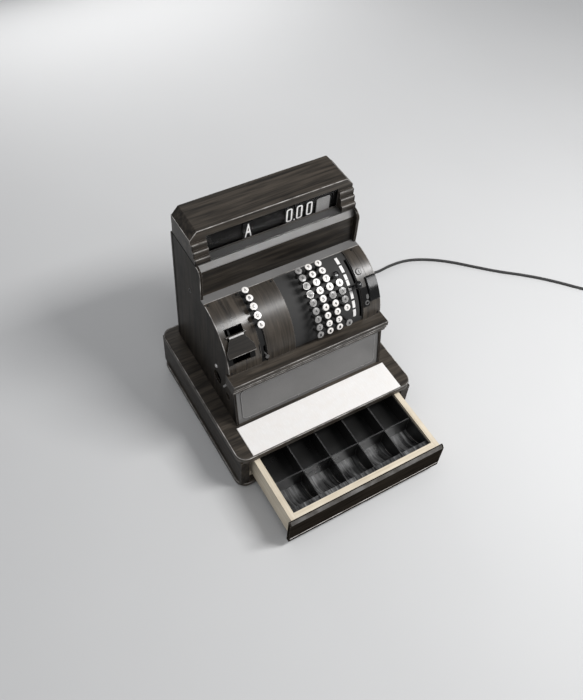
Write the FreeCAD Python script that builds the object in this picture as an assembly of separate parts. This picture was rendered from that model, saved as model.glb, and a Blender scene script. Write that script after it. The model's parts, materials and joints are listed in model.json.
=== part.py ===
import FreeCAD, Part

import math
import os

from FreeCAD import Vector

os.makedirs("parts", exist_ok=True)

# A motor-driven cash register on a drawer case, millimetres, +Z up, front towards -Y.
# While building, y runs back from the front edge of the case top and z up from the floor.

# Drawer case
slab_width = 432.0
slab_depth = 388.0
slab_thick = 14.0
slab_corner = 24.0
slab_round = 5.0
deck = 118.0
foot_height = 7.0
foot_radius = 15.0
foot_inset = 46.0
bottom_thick = 9.0
bottom_round = 3.5
side_thick = 20.0
side_set_back = 4.0
back_thick = 18.0
plate_margin = 31.5
plate_front = 4.0
plate_clear = 5.0
plate_thick = 4.0
plate_sunk = 2.5

# Drawer, shown part open
drawer_open = 161.0
front_set_back = 3.0
front_thick = 8.5
front_bevel = 6.0
front_gap = 3.0
front_height = 76.0
bead_rise = 10.0
bead_depth = 2.0
drawer_head = 6.0
box_wall = 12.5
box_gap = 9.5
box_height = 64.0
box_length = 345.0
floor_thick = 5.0
floor_rise = 2.0
runner_start = 16.0
slide_gap = 0.3

# Till inside the drawer
compartments = 5
till_wall = 2.0
till_drop = 8.0
rim_length = 15.0
cup_length = 61.0
scoop_thick = 2.0
scoop_radius = 42.0

# Cabinet side panels, back and hood
overhang = 36.0
panel_thick = 5.0
body_back = 356.0
cheek_height = 322.0
cheek_set_back = 6.0
cheek_round = 16.0
back_plate = 5.0
pan_depth = 17.0
pan_wall = 3.0
pan_margin = 1.0
pan_drop = 9.0
pan_round = 7.0
pan_lip = 30.0
hood_front = 274.0
hood_height = 65.5
hood_wall = 4.0
hood_bevel_x = 15.0
hood_bevel_z = 18.0
hood_round = 3.0
window_margin = 34.0
window_rise = 2.5
window_height = 45.0
rib_count = 3
rib_out = 19.5
rib_step = 6.5
rib_rise = 13.5
rib_bevel = 2.5
rib_gap = 1.5
glass_thick = 2.5
glass_lap = 3.0
glass_lip = 0.8
seat_gap = 0.2

# Window sill, shelf bar and upper panel
shelf_front = 249.5
shelf_set = 1.5
shelf_height = 16.5
shelf_lip = 1.5
shelf_lean = 4.5
shelf_thick = 4.0
sill_thick = 4.0
upper_thick = 4.0
upper_set_back = 14.0
strip_lap = 6.0
strip_thick = 3.0

# Round keyboard: its axis, covers and key plate
axis_back = 230.0
axis_height = 130.0
cover_radius = 113.0
cover_thick = 2.8
key_plate_thick = 3.0
key_plate_lap = 3.0
key_plate_tuck = 8.0
cover_start = 3.2
cover_end = 87.8
left_cover_width = 74.0
clerk_slot_width = 14.0
centre_cover_right = -28.0
right_cover_width = 42.0

# Keys
key_rise = 22.7
key_first_x = 19.2
key_pitch_x = 23.0
key_first_angle = 11.9
key_pitch_angle = 7.57
key_rows = 9
key_columns = 4
short_rows = (1, 2, 8)
clerk_in = 6.7
clerk_count = 5
clerk_first_angle = 10.4
clerk_pitch_angle = 8.0
cap_radius = 7.8
cap_height = 5.0
cap_bevel = 1.2
stem_x = 3.0
stem_t = 6.0
stem_tail = 12.0
stem_gap = 0.4

# Control lever and receipt lever, both turning about the keyboard's axis
lever_shaft_radius = 6.0
run_gap = 0.05
hub_radius = 13.0
lever_in = 5.0
lever_thick = 3.0
lever_width = 8.0
lever_angle = 43.0
lever_slot = 6.0
lever_slot_from = 13.0
lever_slot_to = 83.0
ball_radius = 8.5
ball_in = 5.0
ball_rise = 19.0
pointer_length = 20.5
pointer_width = 2.4
pointer_rise = 4.5
pointer_thick = 2.0
receipt_in = 9.5
receipt_thick = 2.5
receipt_width = 5.0
receipt_angle = 77.7
receipt_slot_from = 67.0
receipt_slot_to = 86.5
knob_radius = 4.5
knob_rise = 6.0

# Motor bar, lock and receipt lid
bar_width = 24.4
bar_angle = 52.5
bar_half = 26.5
bar_rise = 5.0
bar_depth = 7.0
bar_gap = 0.6
bar_travel = 5.0
bar_stem = 4.0
bar_stem_reach = 26.0
lock_in = 9.5
lock_angle = 31.2
lock_radius = 5.5
lock_rise = 2.5
lock_length = 20.0
lock_slot = 1.4
lid_margin = 1.5
lid_width = 59.5
lid_taper = 13.25
lid_neck = 5.0
lid_straight = 12.0
lid_angle = 43.5
lid_length = 41.0
lid_thick = 2.4
lid_pin = 1.3
lid_lug = 2.5
lid_rise = 2.6
outlet_from = 35.0
outlet_to = 74.0
outlet_margin = 10.5

# Front ledge and front panel
ledge_over = 4.0
ledge_lap = 8.0
ledge_depth = 37.0
ledge_rise = 4.0
ledge_height = 32.0
ledge_step = 3.0
toe_out = 6.0
knee_in = 12.0
front_panel_thick = 3.0
front_panel_recess = 3.0
field_margin = 11.0
field_proud = 1.5
field_corner = 9.0

# Mechanism
frame_inset = 30.0
frame_thick = 4.0
frame_gap = 6.0
frame_drop = 1.0
frame_nose = 12.5
frame_clear = 25.0
frame_from = -20.0
frame_to = 80.0
tablet_gap = 1.0
tablet_thick = 2.0
tablet_show = 39.0
tablet_height = 99.0
tablet_corner = 2.0
amount_tablet_in = 108.3
amount_tablet_pitch = 23.1
amount_tablet_width = 20.0
clerk_tablet_in = 92.0
clerk_tablet_width = 24.0
flag_tablet_in = 29.8
flag_tablet_width = 31.0
flag_short = 6.5
guide_drop = 26.0
guide_height = 18.0
guide_front = 5.0
guide_back = 7.0
guide_gap = 0.3
drive_back = 170.0
drive_height = 70.0
drive_shaft_radius = 7.0
drive_in = 2.0
crank_pin_radius = 2.5
crank_pin_half = 12.0
gear_module = 2.0
gear_teeth = 40
pinion_teeth = 16
gear_x = 100.0
gear_width = 10.0
tooth_slack = 0.35
pressure_angle = 20.0
motor_left = 15.0
motor_right = 94.0
motor_radius = 36.0
motor_shaft_radius = 4.0
motor_bore_depth = 24.0
motor_foot_half = 26.0
crank_hole_radius = 16.5
spare_hole_radius = 9.0
spare_hole_back = 124.0
spare_hole_height = 58.0

# Mains cord
cord_diameter = 7.0
cord_exit_x = 140.0
cord_exit_height = 52.0
relief_length = 36.0
relief_flange = 9.0
relief_tip = 4.6
lift = 0.1
coil_turns = 4.0
coil_pitch = 7.7
coil_out_radius = 46.0
coil_start = (912.0, 45.0)
coil_heading = -43.0
coil_tail = 32.0
plug_length = 34.0
plug_radius = 10.8
blade_thick = 1.5
blade_width = 6.4
blade_length = 18.0
blade_spacing = 12.7

# Derived places
under = deck - slab_thick
plate_half_width = slab_width / 2 - plate_margin
body_half = slab_width / 2 - overhang
case_half = slab_width / 2 - side_set_back
bay_half = case_half - side_thick
floor_top = foot_height + bottom_thick
inner_half = body_half - panel_thick
axis_z = deck + axis_height
cover_inner = cover_radius - cover_thick
key_plate_radius = cover_inner - seat_gap
key_top_radius = cover_radius + key_rise
stem_end = key_plate_radius - stem_tail
shoulder_height = axis_height + cover_radius
hood_top = cheek_height + hood_height
window_low = cheek_height + window_rise
window_high = window_low + window_height
shelf_high = cheek_height - shelf_set
shelf_low = shelf_high - shelf_height
cheek_front = axis_back + cheek_set_back
upper_foot = axis_back + upper_set_back
strip_front = axis_back - strip_lap
window_half = body_half - window_margin
left_cover_right = left_cover_width - body_half
centre_cover_left = left_cover_right + clerk_slot_width
right_cover_left = body_half - right_cover_width
key_plate_left = left_cover_right - key_plate_tuck
key_plate_right = right_cover_left + key_plate_lap
clerk_x = left_cover_right + clerk_in
receipt_x = left_cover_right + receipt_in
knob_out = cover_radius + knob_rise
lever_x = right_cover_left - lever_in
ball_at = cover_radius + ball_rise
pointer_at = cover_radius + pointer_rise
lock_x = right_cover_left + lock_in
lock_out = cover_radius + lock_rise
bar_right = body_half - bar_gap
bar_left = bar_right - bar_width
bar_out = cover_radius + bar_rise
bar_stem_end = bar_out - bar_stem_reach
lid_left = lid_margin - body_half
lid_right = lid_left + lid_width
hinge_left = lid_left + lid_taper
hinge_right = lid_right - lid_taper
ledge_half = body_half + ledge_over
ledge_back = axis_back - cover_radius + ledge_lap
ledge_front = ledge_back - ledge_depth
ledge_high = axis_height + ledge_rise
ledge_low = ledge_high - ledge_height
cheek_toe = ledge_front - toe_out
cheek_knee = ledge_front + knee_in
plate_depth = cheek_toe - plate_front - plate_clear
frame_x = body_half - frame_inset
frame_reach = key_plate_radius - frame_clear
drive_end = drive_in - inner_half
tablet_front = hood_front + hood_wall + tablet_gap
tablet_high = cheek_height + tablet_show
tablet_low = tablet_high - tablet_height
amount_tablet_x = window_half - amount_tablet_in
clerk_tablet_x = clerk_tablet_in - window_half
flag_tablet_x = window_half - flag_tablet_in
guide_high = cheek_height - guide_drop
guide_low = guide_high - guide_height
drawer_front_y = front_set_back - drawer_open
drawer_top = under - drawer_head
front_bottom = drawer_top - front_height
box_bottom = drawer_top - box_height
box_half = bay_half - box_gap
box_front = drawer_front_y + front_thick
box_back = box_front + box_length
till_half = box_half - box_wall
till_floor = box_bottom + floor_rise + floor_thick
till_top = drawer_top - till_drop
till_front = box_front + box_wall
till_back = box_back - box_wall
compartment_width = 2 * till_half / compartments
frame_shift = -(drawer_front_y + slab_depth) / 2


def box(x0, x1, y0, y1, z0, z1):
    return Part.makeBox(x1 - x0, y1 - y0, z1 - z0, Vector(x0, y0, z0))


def outline(plane, start, moves):
    """Closed wire from lines (a point) and arcs (a pair of points: through, to)."""
    edges = []
    here = start
    for move in moves + [start]:
        if isinstance(move[0], tuple):
            through, there = move
            edges.append(Part.Arc(plane(here), plane(through), plane(there)).toShape())
        else:
            there = move
            if (plane(there) - plane(here)).Length > 1e-6:
                edges.append(Part.LineSegment(plane(here), plane(there)).toShape())
        here = there
    return Part.Wire(edges)


def prism_x(x0, x1, start, moves):
    wire = outline(lambda p: Vector(x0, p[0], p[1]), start, moves)
    return Part.Face(wire).extrude(Vector(x1 - x0, 0, 0))


def prism_y(y0, y1, start, moves):
    wire = outline(lambda p: Vector(p[0], y0, p[1]), start, moves)
    return Part.Face(wire).extrude(Vector(0, y1 - y0, 0))


def prism_z(z0, z1, start, moves):
    wire = outline(lambda p: Vector(p[0], p[1], z0), start, moves)
    return Part.Face(wire).extrude(Vector(0, 0, z1 - z0))


def rod_x(x0, x1, y, z, radius):
    return Part.makeCylinder(radius, x1 - x0, Vector(x0, y, z), Vector(1, 0, 0))


def polar(radius, angle):
    """Point (y, z) on the keyboard at an angle from straight up towards the front."""
    a = math.radians(angle)
    return (axis_back - radius * math.sin(a), axis_z + radius * math.cos(a))


def beside(radius, angle, along):
    """Point on a keyboard radius, moved along the tangent, downwards."""
    y, z = polar(radius, angle)
    a = math.radians(angle)
    return (y - along * math.cos(a), z - along * math.sin(a))


def outward(angle):
    a = math.radians(angle)
    return Vector(0, -math.sin(a), math.cos(a))


def curved_sheet(x0, x1, r0, r1, a0, a1):
    middle = (a0 + a1) / 2
    moves = [
        (polar(r0, middle), polar(r0, a1)),
        polar(r1, a1),
        (polar(r1, middle), polar(r1, a0)),
    ]
    return prism_x(x0, x1, polar(r0, a0), moves)


def radial_box(x0, x1, angle, t0, t1, r0, r1):
    """Box whose sides are parallel to the keyboard radius at an angle."""
    moves = [beside(r1, angle, t0), beside(r1, angle, t1), beside(r0, angle, t1)]
    return prism_x(x0, x1, beside(r0, angle, t0), moves)


def radial_rod(x, angle, radius, r0, r1):
    y, z = polar(r0, angle)
    return Part.makeCylinder(radius, r1 - r0, Vector(x, y, z), outward(angle))


def rounded_plate(x_half, y0, y1, z0, z1, corner):
    """Plate with round corners, seen from above."""
    k = corner * (1 - math.sqrt(0.5))
    moves = [
        (x_half - corner, y0),
        ((x_half - k, y0 + k), (x_half, y0 + corner)),
        (x_half, y1 - corner),
        ((x_half - k, y1 - k), (x_half - corner, y1)),
        (corner - x_half, y1),
        ((k - x_half, y1 - k), (-x_half, y1 - corner)),
        (-x_half, y0 + corner),
        ((k - x_half, y0 + k), (corner - x_half, y0)),
    ]
    return prism_z(z0, z1, (corner - x_half, y0), moves)


def level_edges(shape, z):
    return [e for e in shape.Edges if abs(e.BoundBox.ZMin - z) < 1e-4 and abs(e.BoundBox.ZMax - z) < 1e-4]


def save(name, shape):
    moved = shape.copy()
    moved.translate(Vector(0, frame_shift, 0))
    moved.exportStep("parts/" + name + ".step")


def group(solids):
    return Part.makeCompound(solids)


# Drawer case: top slab with the sunk seat of the change plate, sides, back, bottom board and feet
def case_top():
    slab = rounded_plate(slab_width / 2, 0, slab_depth, under, deck, slab_corner)
    slab = slab.makeFillet(slab_round, level_edges(slab, deck))
    half = plate_half_width
    seat = box(-half, half, plate_front, plate_front + plate_depth, deck - plate_sunk, deck + 1)
    return slab.cut(seat)


def change_plate():
    low = deck - plate_sunk
    plate = box(
        -plate_half_width, plate_half_width, plate_front, plate_front + plate_depth, low, low + plate_thick
    )
    return plate.makeChamfer(0.8, level_edges(plate, low + plate_thick))


def case_sides():
    back = slab_depth - side_set_back
    left = box(-case_half, -bay_half, side_set_back, back, floor_top, under)
    right = box(bay_half, case_half, side_set_back, back, floor_top, under)
    return group([left, right])


def case_back():
    back = slab_depth - side_set_back
    return box(-bay_half, bay_half, back - back_thick, back, floor_top, under)


def case_bottom():
    board = rounded_plate(slab_width / 2, 0, slab_depth, foot_height, floor_top, slab_corner)
    return board.makeFillet(bottom_round, level_edges(board, floor_top))


def rubber_feet():
    feet = []
    for x in (-slab_width / 2 + foot_inset, slab_width / 2 - foot_inset):
        for y in (foot_inset, slab_depth - foot_inset):
            feet.append(Part.makeCone(foot_radius * 0.85, foot_radius, foot_height, Vector(x, y, 0)))
    return group(feet)


def drawer_runners():
    back = slab_depth - side_set_back - back_thick
    inner = box_half - box_wall
    top = box_bottom - slide_gap
    left = box(-bay_half, -inner, runner_start, back, floor_top, top)
    right = box(inner, bay_half, runner_start, back, floor_top, top)
    return group([left, right])


# Drawer: bevelled front with a bead line, glued board box, floor, till walls and coin scoops
def drawer_front():
    half = bay_half - front_gap
    y0 = drawer_front_y
    y1 = drawer_front_y + front_thick
    bead = front_bottom + bead_rise
    moves = [
        (y0, bead - bead_depth),
        (y0 + bead_depth, bead),
        (y0, bead + bead_depth),
        (y0, drawer_top - front_bevel),
        (y0 + front_bevel, drawer_top),
        (y1, drawer_top),
        (y1, front_bottom),
    ]
    return prism_x(-half, half, (y0, front_bottom), moves)


def drawer_box():
    inner = box_half - box_wall
    left = box(-box_half, -inner, box_front, box_back, box_bottom, drawer_top)
    right = box(inner, box_half, box_front, box_back, box_bottom, drawer_top)
    front = box(-inner, inner, box_front, box_front + box_wall, box_bottom, drawer_top)
    back = box(-inner, inner, box_back - box_wall, box_back, box_bottom, drawer_top)
    return group([left, right, front, back])


def drawer_bottom():
    low = box_bottom + floor_rise
    return box(-till_half, till_half, till_front, till_back, low, low + floor_thick)


def till_dividers():
    """Where the walls between compartments stand, left face of each."""
    return [-till_half + n * compartment_width - till_wall / 2 for n in range(1, compartments)]


def till_bays():
    """Clear width of each compartment as (left, right)."""
    rights = till_dividers() + [till_half - till_wall]
    lefts = [-till_half + till_wall] + [x + till_wall for x in till_dividers()]
    return list(zip(lefts, rights))


def till_walls():
    front = till_front + rim_length
    inner = till_half - till_wall
    walls = [
        box(-till_half, -inner, till_front, till_back, till_floor, till_top),
        box(inner, till_half, till_front, till_back, till_floor, till_top),
        box(-inner, inner, till_back - till_wall, till_back, till_floor, till_top),
    ]
    for x in till_dividers():
        walls.append(box(x, x + till_wall, front, till_back - till_wall, till_floor, till_top))
    for left, right in till_bays():
        y = front + cup_length
        walls.append(box(left, right, y, y + till_wall, till_floor, till_top))
    return group(walls)


def coin_scoops():
    """Sheet that hooks over a flat rim and sweeps down to the floor of each coin cup."""
    rim_y = till_front + rim_length
    high = till_floor + scoop_thick + scoop_radius
    k = math.sqrt(0.5)
    middle = (rim_y + scoop_radius, high)
    cup_back = rim_y + cup_length
    scoops = []
    for left, right in till_bays():
        outer = scoop_radius + scoop_thick
        moves = [
            (till_front, high),
            (till_front, high - scoop_thick),
            (rim_y - scoop_thick, high - scoop_thick),
            ((middle[0] - outer * k, middle[1] - outer * k), (middle[0], till_floor)),
            (cup_back, till_floor),
            (cup_back, till_floor + scoop_thick),
            (middle[0], till_floor + scoop_thick),
            ((middle[0] - scoop_radius * k, middle[1] - scoop_radius * k), (rim_y, high)),
        ]
        scoops.append(prism_x(left, right, (rim_y, high), moves))
    return group(scoops)


# Cabinet: side panels with a round front shoulder, pressed back, hood with a window each way
def side_panel(x0, x1):
    top = deck + cheek_height
    shoulder = deck + shoulder_height - strip_thick
    seat = key_plate_radius
    k = cheek_round * (1 - math.sqrt(0.5))
    meet = math.degrees(math.acos((shoulder - axis_z) / seat))
    ledge_top = deck + ledge_high + seat_gap
    ledge_under = deck + ledge_low
    end = math.degrees(math.acos((ledge_top - axis_z) / seat))
    moves = [
        (body_back, deck),
        (body_back, top),
        (cheek_front + cheek_round, top),
        ((cheek_front + k, top - k), (cheek_front, top - cheek_round)),
        (cheek_front, shoulder),
        polar(seat, meet),
        (polar(seat, (meet + end) / 2), polar(seat, end)),
        (ledge_back, ledge_top),
        (ledge_back, ledge_under),
        (cheek_knee, ledge_under),
    ]
    return prism_x(x0, x1, (cheek_toe, deck), moves)


def left_side_panel():
    panel = side_panel(-body_half, -inner_half)
    left = -body_half - 1
    right = -inner_half + 1
    crank = rod_x(left, right, drive_back, deck + drive_height, crank_hole_radius)
    spare = rod_x(left, right, spare_hole_back, deck + spare_hole_height, spare_hole_radius)
    return panel.cut(crank).cut(spare)


def right_side_panel():
    """The shoulder is notched for the motor bar and its travel."""
    reach = bar_half + bar_gap
    under_bar = math.sqrt((bar_out - bar_depth) ** 2 - bar_half**2)
    floor = under_bar - bar_travel - bar_gap
    notch = radial_box(inner_half - 1, body_half + 1, bar_angle, -reach, reach, floor, cover_radius + 5)
    return side_panel(inner_half, body_half).cut(notch)


def back_panel():
    """Plate between the sides that carries a shallow pressed pan, flush with the sides."""
    y = body_back - back_plate
    back = body_back + pan_depth
    plate = box(-inner_half, inner_half, y, body_back, deck, deck + cheek_height)
    half = body_half - pan_margin
    high = deck + cheek_height - pan_drop
    pan = box(-half, half, body_back, back, deck, high)
    rim = [e for e in pan.Edges if e.BoundBox.YMin > back - 1e-4]
    pan = pan.makeFillet(pan_round, rim)
    inner = half - pan_wall
    front = body_back + pan_wall
    hollow = box(-inner, inner, front, back - pan_wall, deck + pan_wall, high - pan_wall)
    inner = inner_half - pan_lip
    window = box(-inner, inner, y - 1, front + 1, deck + pan_lip, high - pan_lip)
    return plate.fuse(pan).cut(hollow).cut(window).removeSplitter()


def hood_cover():
    low = deck + cheek_height
    top = deck + hood_top
    shoulder = body_half - hood_bevel_x
    moves = [
        (-body_half, top - hood_bevel_z),
        (-shoulder, top),
        (shoulder, top),
        (body_half, top - hood_bevel_z),
        (body_half, low),
    ]
    shell = prism_y(hood_front, body_back, (-body_half, low), moves)
    crown = [e for e in shell.Edges if e.BoundBox.ZMin > top - hood_bevel_z - 1e-4]
    shell = shell.makeFillet(hood_round, crown)
    rib_start = window_half + rib_gap
    shell = shell.fuse([hood_ribs(-body_half, -rib_start), hood_ribs(rib_start, body_half)])
    inner = body_half - hood_wall
    half_wall = hood_wall / 2
    moves = [
        (-inner, top - hood_bevel_z - half_wall),
        (half_wall - shoulder, top - hood_wall),
        (shoulder - half_wall, top - hood_wall),
        (inner, top - hood_bevel_z - half_wall),
        (inner, low - 1),
    ]
    shell = shell.cut(prism_y(hood_front + hood_wall, body_back - hood_wall, (-inner, low - 1), moves))
    back = body_back + 1
    sight_low, sight_high = deck + window_low, deck + window_high
    sight = box(-window_half, window_half, hood_front - 1, back, sight_low, sight_high)
    half = window_half + glass_lap
    rebate = box(
        -half, half, hood_front + glass_lip, body_back - glass_lip, low - 1, deck + window_high + glass_lap
    )
    return shell.cut(sight).cut(rebate).removeSplitter()


def hood_ribs(x0, x1):
    """Steps beside the window that come forward one below the other."""
    start = (hood_front + 1, deck + cheek_height + rib_count * rib_rise)
    moves = []
    for n in range(rib_count):
        y = hood_front - rib_out + (rib_count - 1 - n) * rib_step
        z = start[1] - n * rib_rise
        moves += [(y + rib_bevel, z), (y, z - rib_bevel), (y, z - rib_rise)]
    moves.append((hood_front + 1, deck + cheek_height))
    return prism_x(x0, x1, start, moves)


def window_glasses():
    low = deck + cheek_height
    high = deck + window_high + glass_lap - seat_gap
    half = window_half + glass_lap - seat_gap
    front = hood_front + glass_lip + seat_gap
    rear = body_back - glass_lip - seat_gap
    return group(
        [
            box(-half, half, front, front + glass_thick, low, high),
            box(-half, half, rear - glass_thick, rear, low, high),
        ]
    )


def shelf_bar():
    """Bright bar with a steep face along the front of the sill."""
    back = shelf_front + shelf_lean + shelf_thick
    moves = [
        (shelf_front, deck + shelf_low + shelf_lip),
        (shelf_front + shelf_lean, deck + shelf_high),
        (back, deck + shelf_high),
        (back, deck + shelf_low),
    ]
    return prism_x(-inner_half, inner_half, (shelf_front, deck + shelf_low), moves)


def window_sill():
    front = shelf_front + shelf_lean + shelf_thick
    low = deck + shelf_high - sill_thick
    moves = [
        (front, deck + shelf_high),
        (hood_front, deck + cheek_height),
        (hood_front + hood_wall, deck + cheek_height),
        (hood_front + hood_wall, low),
    ]
    return prism_x(-inner_half, inner_half, (front, low), moves)


def upper_panel():
    """Leaning panel between the shelf and the keyboard strip."""
    low = deck + shoulder_height
    high = deck + shelf_low
    moves = [(shelf_front, high), (shelf_front + upper_thick, high), (upper_foot + upper_thick, low)]
    return prism_x(-inner_half, inner_half, (upper_foot, low), moves)


def keyboard_strip():
    """Flat bright strip that tops the keyboard, notched between the cheeks."""
    top = deck + shoulder_height
    strip = box(-body_half, body_half, strip_front, cheek_front, top - strip_thick, top)
    tongue = box(-inner_half, inner_half, cheek_front, upper_foot + upper_thick, top - strip_thick, top)
    return strip.fuse(tongue).removeSplitter()


# Round keyboard: three covers over a slotted key plate
def left_key_cover():
    cover = curved_sheet(-body_half, left_cover_right, cover_inner, cover_radius, cover_start, cover_end)
    x0 = lid_left + outlet_margin
    x1 = lid_right - outlet_margin
    outlet = curved_sheet(x0, x1, cover_inner - 5, cover_radius + 5, outlet_from, outlet_to)
    cover = cover.cut(outlet)
    pin_at = cover_radius + lid_rise
    y, z = polar(pin_at, lid_angle)
    for start, end in ((x0 - lid_lug, hinge_left - slide_gap), (hinge_right + slide_gap, x1 + lid_lug)):
        lug = radial_box(start, end, lid_angle, -lid_lug, lid_lug, cover_radius - 0.5, pin_at)
        lug = lug.fuse(rod_x(start, end, y, z, lid_lug))
        cover = cover.fuse(lug)
    bore = rod_x(hinge_left - 2 * lid_lug, hinge_right + 2 * lid_lug, y, z, lid_pin + run_gap)
    return cover.cut(bore).removeSplitter()


def centre_key_cover():
    return curved_sheet(
        centre_cover_left, centre_cover_right, cover_inner, cover_radius, cover_start, cover_end
    )


def right_key_cover():
    cover = curved_sheet(right_cover_left, body_half, cover_inner, cover_radius, cover_start, cover_end)
    reach = bar_half + bar_gap
    opening = radial_box(
        bar_left - bar_gap, body_half + 1, bar_angle, -reach, reach, cover_inner - 15, cover_radius + 15
    )
    lock_hole = radial_rod(lock_x, lock_angle, lock_radius + run_gap, cover_inner - 5, cover_radius + 5)
    return cover.cut(opening).cut(lock_hole)


def amount_keys():
    """(row, column) of every amount key; the last column leaves out the short rows."""
    return [
        (row, column)
        for row in range(1, key_rows + 1)
        for column in range(1, key_columns + 1)
        if column < key_columns or row not in short_rows
    ]


def row_angle(row):
    return key_first_angle + (row - 1) * key_pitch_angle


def column_x(column):
    return key_first_x + (column - 1) * key_pitch_x


def clerk_angle(number):
    return clerk_first_angle + (number - 1) * clerk_pitch_angle


def key_hole(x, angle):
    wide = stem_x / 2 + stem_gap
    tall = stem_t / 2 + stem_gap
    return radial_box(x - wide, x + wide, angle, -tall, tall, key_plate_radius - 8, key_plate_radius + 5)


def key_plate():
    inner = key_plate_radius - key_plate_thick
    plate = curved_sheet(key_plate_left, key_plate_right, inner, key_plate_radius, cover_start, cover_end)
    holes = [key_hole(column_x(column), row_angle(row)) for row, column in amount_keys()]
    holes += [key_hole(clerk_x, clerk_angle(n)) for n in range(1, clerk_count + 1)]
    low = inner - 2
    high = key_plate_radius + 2
    half = lever_slot / 2
    holes.append(curved_sheet(lever_x - half, lever_x + half, low, high, lever_slot_from, lever_slot_to))
    half = receipt_thick / 2 + 1
    left, right = receipt_x - half, receipt_x + half
    holes.append(curved_sheet(left, right, low, high, receipt_slot_from, receipt_slot_to))
    return plate.cut(holes)


def key(x, angle):
    base = key_top_radius - cap_height
    cap = radial_rod(x, angle, cap_radius, base, key_top_radius - cap_bevel)
    y, z = polar(key_top_radius - cap_bevel, angle)
    bevel = Part.makeCone(cap_radius, cap_radius - cap_bevel, cap_bevel, Vector(x, y, z), outward(angle))
    stem = radial_box(x - stem_x / 2, x + stem_x / 2, angle, -stem_t / 2, stem_t / 2, stem_end, base + 1)
    return cap.fuse([bevel, stem]).removeSplitter()


def key_row(row):
    return group([key(column_x(column), row_angle(row)) for r, column in amount_keys() if r == row])


# Levers on the keyboard's axis
def lever_arm(x, thick, width, angle, reach):
    hub = rod_x(x - thick, x + thick, axis_back, axis_z, hub_radius)
    arm = radial_box(x - thick / 2, x + thick / 2, angle, -width / 2, width / 2, hub_radius / 2, reach)
    bore = rod_x(x - 4 * thick, x + 4 * thick, axis_back, axis_z, lever_shaft_radius + run_gap)
    return hub.fuse(arm).cut(bore).removeSplitter()


def control_lever():
    """Flat arm with a ball knob at its left and a pointer over the label tabs."""
    arm = lever_arm(lever_x, lever_thick, lever_width, lever_angle, ball_at + lever_width / 2)
    centre = Vector(lever_x - ball_in, *polar(ball_at, lever_angle))
    flat = math.degrees(math.asin((ball_in - lever_thick / 2) / ball_radius))
    ball = Part.makeSphere(ball_radius, centre, Vector(1, 0, 0), -90, flat, 360)
    half = pointer_width / 2
    pointer = radial_box(
        lever_x - pointer_length, lever_x, lever_angle, -half, half, pointer_at, pointer_at + pointer_thick
    )
    return arm.fuse([ball, pointer]).removeSplitter()


def receipt_lever():
    arm = lever_arm(receipt_x, receipt_thick, receipt_width, receipt_angle, knob_out - 1)
    y, z = polar(knob_out - 3, receipt_angle)
    foot = Vector(receipt_x, y, z)
    knob = Part.makeCone(knob_radius * 0.7, knob_radius, 4, foot, outward(receipt_angle))
    return arm.fuse(knob).removeSplitter()


# Motor bar, lock plug and receipt lid
def motor_bar():
    """Curved bar that fills the notch at the right end, on a stem."""
    inner = bar_out - bar_depth
    sweep = math.degrees(math.asin(bar_half / inner)) + 2
    bar = curved_sheet(bar_left, bar_right, inner, bar_out, bar_angle - sweep, bar_angle + sweep)
    keep = radial_box(bar_left, bar_right, bar_angle, -bar_half, bar_half, inner / 2, bar_out + 5)
    bar = bar.common(keep)
    rims = [
        e
        for e in bar.Edges
        if all(abs(math.hypot(v.Y - axis_back, v.Z - axis_z) - bar_out) < 1e-3 for v in e.Vertexes)
    ]
    bar = bar.makeChamfer(1.5, rims)
    middle = (bar_left + inner_half) / 2
    half = bar_stem / 2
    stem = radial_box(middle - half, middle + half, bar_angle, -bar_stem, bar_stem, bar_stem_end, inner + 1)
    return bar.fuse(stem).removeSplitter()


def lock_plug():
    plug = radial_rod(lock_x, lock_angle, lock_radius, lock_out - lock_length, lock_out)
    left, right = lock_x - lock_slot / 2, lock_x + lock_slot / 2
    reach = lock_radius * 0.7
    slot = radial_box(left, right, lock_angle, -reach, reach, lock_out - 2, lock_out + 1)
    return plug.cut(slot)


def receipt_lid():
    """Flap that widens from its hinge barrel to a straight lower edge."""
    pin_at = cover_radius + lid_rise
    y, z = polar(pin_at, lid_angle)
    barrel = rod_x(hinge_left, hinge_right, y, z, lid_lug)
    low = pin_at + lid_lug - lid_thick
    widest = lid_length - lid_straight
    moves = [
        (hinge_left, lid_neck),
        (lid_left, widest),
        (lid_left, lid_length),
        (lid_right, lid_length),
        (lid_right, widest),
        (hinge_right, lid_neck),
        (hinge_right, 0),
    ]
    wire = outline(lambda p: Vector(p[0], *beside(low, lid_angle, p[1])), (hinge_left, 0), moves)
    plate = Part.Face(wire).extrude(outward(lid_angle) * lid_thick)
    pin = rod_x(hinge_left - lid_lug, hinge_right + lid_lug, y, z, lid_pin)
    return barrel.fuse([plate, pin]).removeSplitter()


# Front ledge and the leaning front panel below it
def front_ledge():
    top = deck + ledge_high
    low = deck + ledge_low
    drop = (ledge_high - ledge_low) / 3
    moves = [
        (ledge_front + ledge_step, top),
        ((ledge_front + ledge_step * 0.29, top - ledge_step * 0.29), (ledge_front, top - ledge_step)),
        (ledge_front, top - drop),
        (ledge_front + ledge_step, top - drop - ledge_step),
        (ledge_front + ledge_step, low + drop),
        (ledge_front + 2 * ledge_step, low + drop - ledge_step),
        (ledge_front + 2 * ledge_step, low),
        (ledge_back, low),
    ]
    return prism_x(-ledge_half, ledge_half, (ledge_back, top), moves)


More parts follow.
